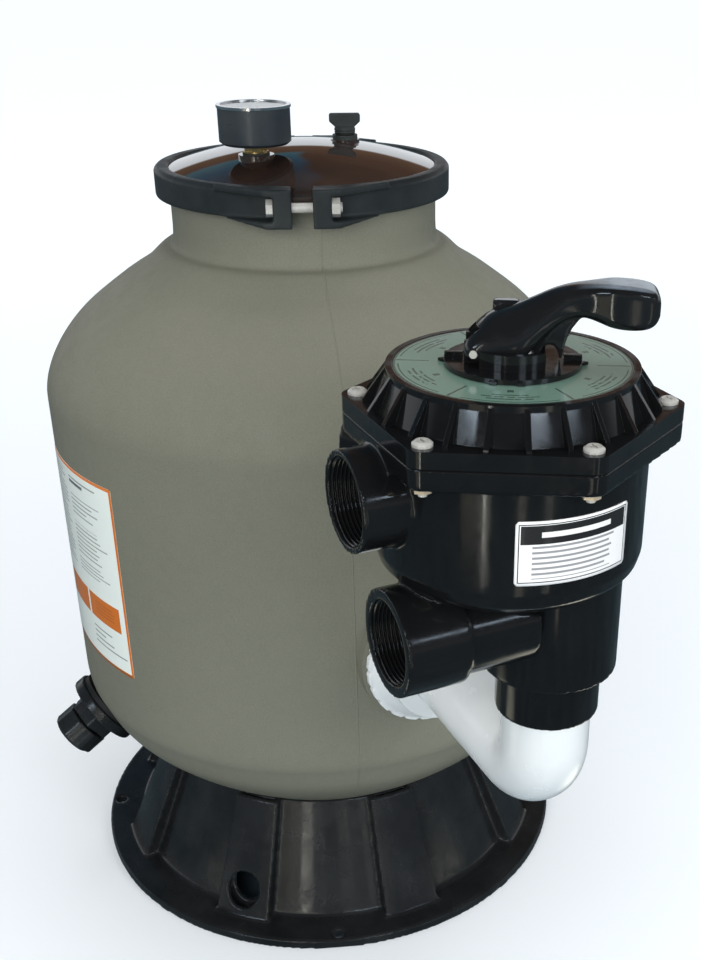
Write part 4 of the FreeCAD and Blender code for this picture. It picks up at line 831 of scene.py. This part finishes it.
def ramp_z(stops):
    """Colour by the upward part of the direction."""
    cr = wn("ShaderNodeValToRGB")
    mr = wn("ShaderNodeMapRange")
    mr.inputs["From Min"].default_value = -0.2
    mr.inputs["From Max"].default_value = 1.0
    wt.links.new(sx.outputs["Z"], mr.inputs["Value"])
    wt.links.new(mr.outputs[0], cr.inputs["Fac"])
    el = cr.color_ramp.elements
    pts = [((z_ + 0.2) / 1.2, c_) for z_, c_ in stops]
    el[0].position, el[0].color = pts[0][0], pts[0][1] + (1,)
    el[1].position, el[1].color = pts[-1][0], pts[-1][1] + (1,)
    for p_, c_ in pts[1:-1]:
        e_ = el.new(p_)
        e_.color = c_ + (1,)
    return cr.outputs[0]


def mix_col(fac, a_, b_):
    m_ = wn("ShaderNodeMix", data_type="RGBA")
    wt.links.new(fac, m_.inputs["Factor"])
    ins = {i.name: i for i in m_.inputs if i.type == "RGBA"}
    wt.links.new(a_, ins["A"])
    wt.links.new(b_, ins["B"])
    return [o_ for o_ in m_.outputs if o_.type == "RGBA"][0]


def step(sock, lo, hi):
    m_ = wn("ShaderNodeMapRange")
    m_.inputs["From Min"].default_value = lo
    m_.inputs["From Max"].default_value = hi
    wt.links.new(sock, m_.inputs["Value"])
    return m_.outputs[0]


wob = wn("ShaderNodeTexNoise")
wob.inputs["Scale"].default_value = 5.0
wob.inputs["Detail"].default_value = 2.0
wt.links.new(tc.outputs["Generated"], wob.inputs["Vector"])
xw = wn("ShaderNodeMath", operation="MULTIPLY_ADD")
wt.links.new(wob.outputs["Fac"], xw.inputs[0])
xw.inputs[1].default_value = 0.16
wt.links.new(sx.outputs["X"], xw.inputs[2])
wall, warm = (0.86, 0.90, 0.94), (0.150, 0.088, 0.056)
right_back = ramp_z(((-0.2, wall), (0.262, wall), (0.285, warm), (0.46, (0.085, 0.048, 0.032)), (0.62, (0.040, 0.026, 0.020)), (1.0, (0.020, 0.020, 0.022))))
left_back = ramp_z(((-0.2, wall), (0.262, wall), (0.285, warm), (0.375, (0.120, 0.070, 0.046)), (0.40, (0.075, 0.17, 0.21)), (0.50, (0.022, 0.095, 0.165)), (0.62, (0.016, 0.050, 0.085)), (1.0, (0.020, 0.020, 0.022))))
front = ramp_z(((-0.2, (0.16, 0.18, 0.20)), (0.06, (0.20, 0.22, 0.24)), (0.16, (0.10, 0.115, 0.13)), (0.34, (0.030, 0.036, 0.046)), (0.62, (0.018, 0.020, 0.024)), (1.0, (0.016, 0.016, 0.018))))
back = mix_col(step(xw.outputs[0], 0.085, 0.115), left_back, right_back)
gloss_col = mix_col(step(sx.outputs["Y"], -0.25, 0.15), front, back)
even = background((0.97, 0.98, 1.0), 0.60)
gloss = background(gloss_col, 1.0)
seen = background((0.90, 0.94, 1.0), 1.0)
first = blend_shader(lp.outputs["Is Glossy Ray"], even, gloss)
wo = wn("ShaderNodeOutputWorld")
wt.links.new(blend_shader(lp.outputs["Is Camera Ray"], first, seen), wo.inputs[0])


def area(name, loc, target, size, size_y, power, colour=(1, 1, 1)):
    li = bpy.data.lights.new(name, "AREA")
    li.shape = "RECTANGLE"
    li.size, li.size_y = size, size_y
    li.energy = power
    li.color = colour
    o = bpy.data.objects.new(name, li)
    bpy.context.scene.collection.objects.link(o)
    o.location = loc
    o.rotation_mode = "QUATERNION"
    o.rotation_quaternion = (Vector(target) - Vector(loc)).to_track_quat("-Z", "Y")
    return o


def shade_only(o):
    o.visible_glossy = False
    o.visible_camera = False
    return o


def card(name, origin, az, lo, half, dist, height, glow, colour):
    """A reflection card: seen in glossy surfaces only, its lower edge lo degrees up from origin."""
    a, e = math.radians(az), math.radians(lo)
    o_ = Vector(origin) * MM
    base = o_ + Vector((math.cos(a), math.sin(a), 0)) * dist + Vector((0, 0, dist * math.tan(e)))
    width = 2 * dist * math.tan(math.radians(half))
    ob = area(name, base + Vector((0, 0, height / 2)), o_ + Vector((0, 0, dist * math.tan(e) + height / 2)), width, height, glow * math.pi * width * height, colour)
    ob.visible_diffuse = False
    ob.visible_camera = False
    ob.visible_transmission = False
    return ob


shade_only(area("soft_front", (-0.9, -2.7, 1.35), (0, -0.1, 0.35), 1.8, 1.5, 50, (1.0, 0.995, 0.98)))
shade_only(area("soft_right", (1.5, -1.9, 1.05), (0.08, -0.3, 0.32), 0.9, 1.1, 24, (0.96, 0.985, 1.0)))
shade_only(area("overhead", (0.1, 0.3, 2.5), (0, 0, 0.4), 1.4, 1.0, 15, (0.97, 0.99, 1.0)))
card("card_left", (71, -413, 524), -137, 18.55, 8.5, 2.6, 0.34, 10.0, (0.72, 0.86, 1.0))
card("card_mid", (104, -420, 526), -75, 19.75, 7.5, 2.6, 0.30, 13.0, (0.74, 0.86, 1.0))
card("card_right", (121, -417, 526), -45, 16.2, 5.5, 2.6, 0.22, 6.5, (0.70, 0.84, 1.0))
card("strip_low", (79, -421, 470), -118.6, -28.4, 1.3, 0.85, 0.80, 9.0, (1.0, 0.97, 0.86))
card("strip_warm", (79, -421, 470), -131, -27.5, 7.0, 0.95, 0.55, 0.55, (1.0, 0.86, 0.62))
card("strip_mid", (104, -420, 470), -66, -31.0, 3.0, 0.75, 0.42, 0.9, (1.0, 0.97, 0.86))
card("strip_side", (130, -382, 400), -92, -30.0, 2.6, 0.62, 0.42, 1.1, (1.0, 0.90, 0.76))

# camera at the reference angle
F, CX, CY, WPX, HPX = 1234.6246, 447.913, 566.854, 701.0, 960.0
pitch, roll, yaw = 0.479529, 0.0066032, 0.1149162
fwd = Vector((math.sin(yaw) * math.cos(pitch), math.cos(yaw) * math.cos(pitch), -math.sin(pitch)))
right = Vector((math.cos(yaw), -math.sin(yaw), 0))
up = right.cross(fwd)
r2 = right * math.cos(roll) + up * math.sin(roll)
u2 = up * math.cos(roll) - right * math.sin(roll)
cam_data = bpy.data.cameras.new("reference_camera")
cam = bpy.data.objects.new("reference_camera", cam_data)
bpy.context.scene.collection.objects.link(cam)
cam.rotation_mode = "QUATERNION"
rotm = Matrix((r2, u2, -fwd)).transposed()
cam.rotation_quaternion = rotm.to_quaternion()
CAM_LOC = (0.0, -0.95208, 0.73463)
cam.location = CAM_LOC
cam_data.sensor_fit = "AUTO"
cam_data.sensor_width = 36.0
cam_data.lens = F / HPX * 36.0
cam_data.clip_start, cam_data.clip_end = 0.02, 50.0
SHX, SHY = -(CX - WPX / 2) / HPX, (CY - HPX / 2) / HPX
# the lens shift belongs to the reference place only, and goes to zero when the camera is moved
for prop, val in (("shift_x", SHX), ("shift_y", SHY)):
    fc_ = cam_data.driver_add(prop)
    d = fc_.driver
    d.type = "SCRIPTED"
    v = d.variables.new()
    v.name = "z"
    v.type = "SINGLE_PROP"
    v.targets[0].id_type = "OBJECT"
    v.targets[0].id = cam
    v.targets[0].data_path = "location[2]"
    d.expression = "(%.6f) if abs(z - %.5f) < 0.0004 else 0.0" % (val, CAM_LOC[2])
bpy.context.scene.camera = cam

sc = bpy.context.scene
sc.view_settings.view_transform = "Standard"
sc.view_settings.look = "None"
sc.view_settings.exposure = 0.0
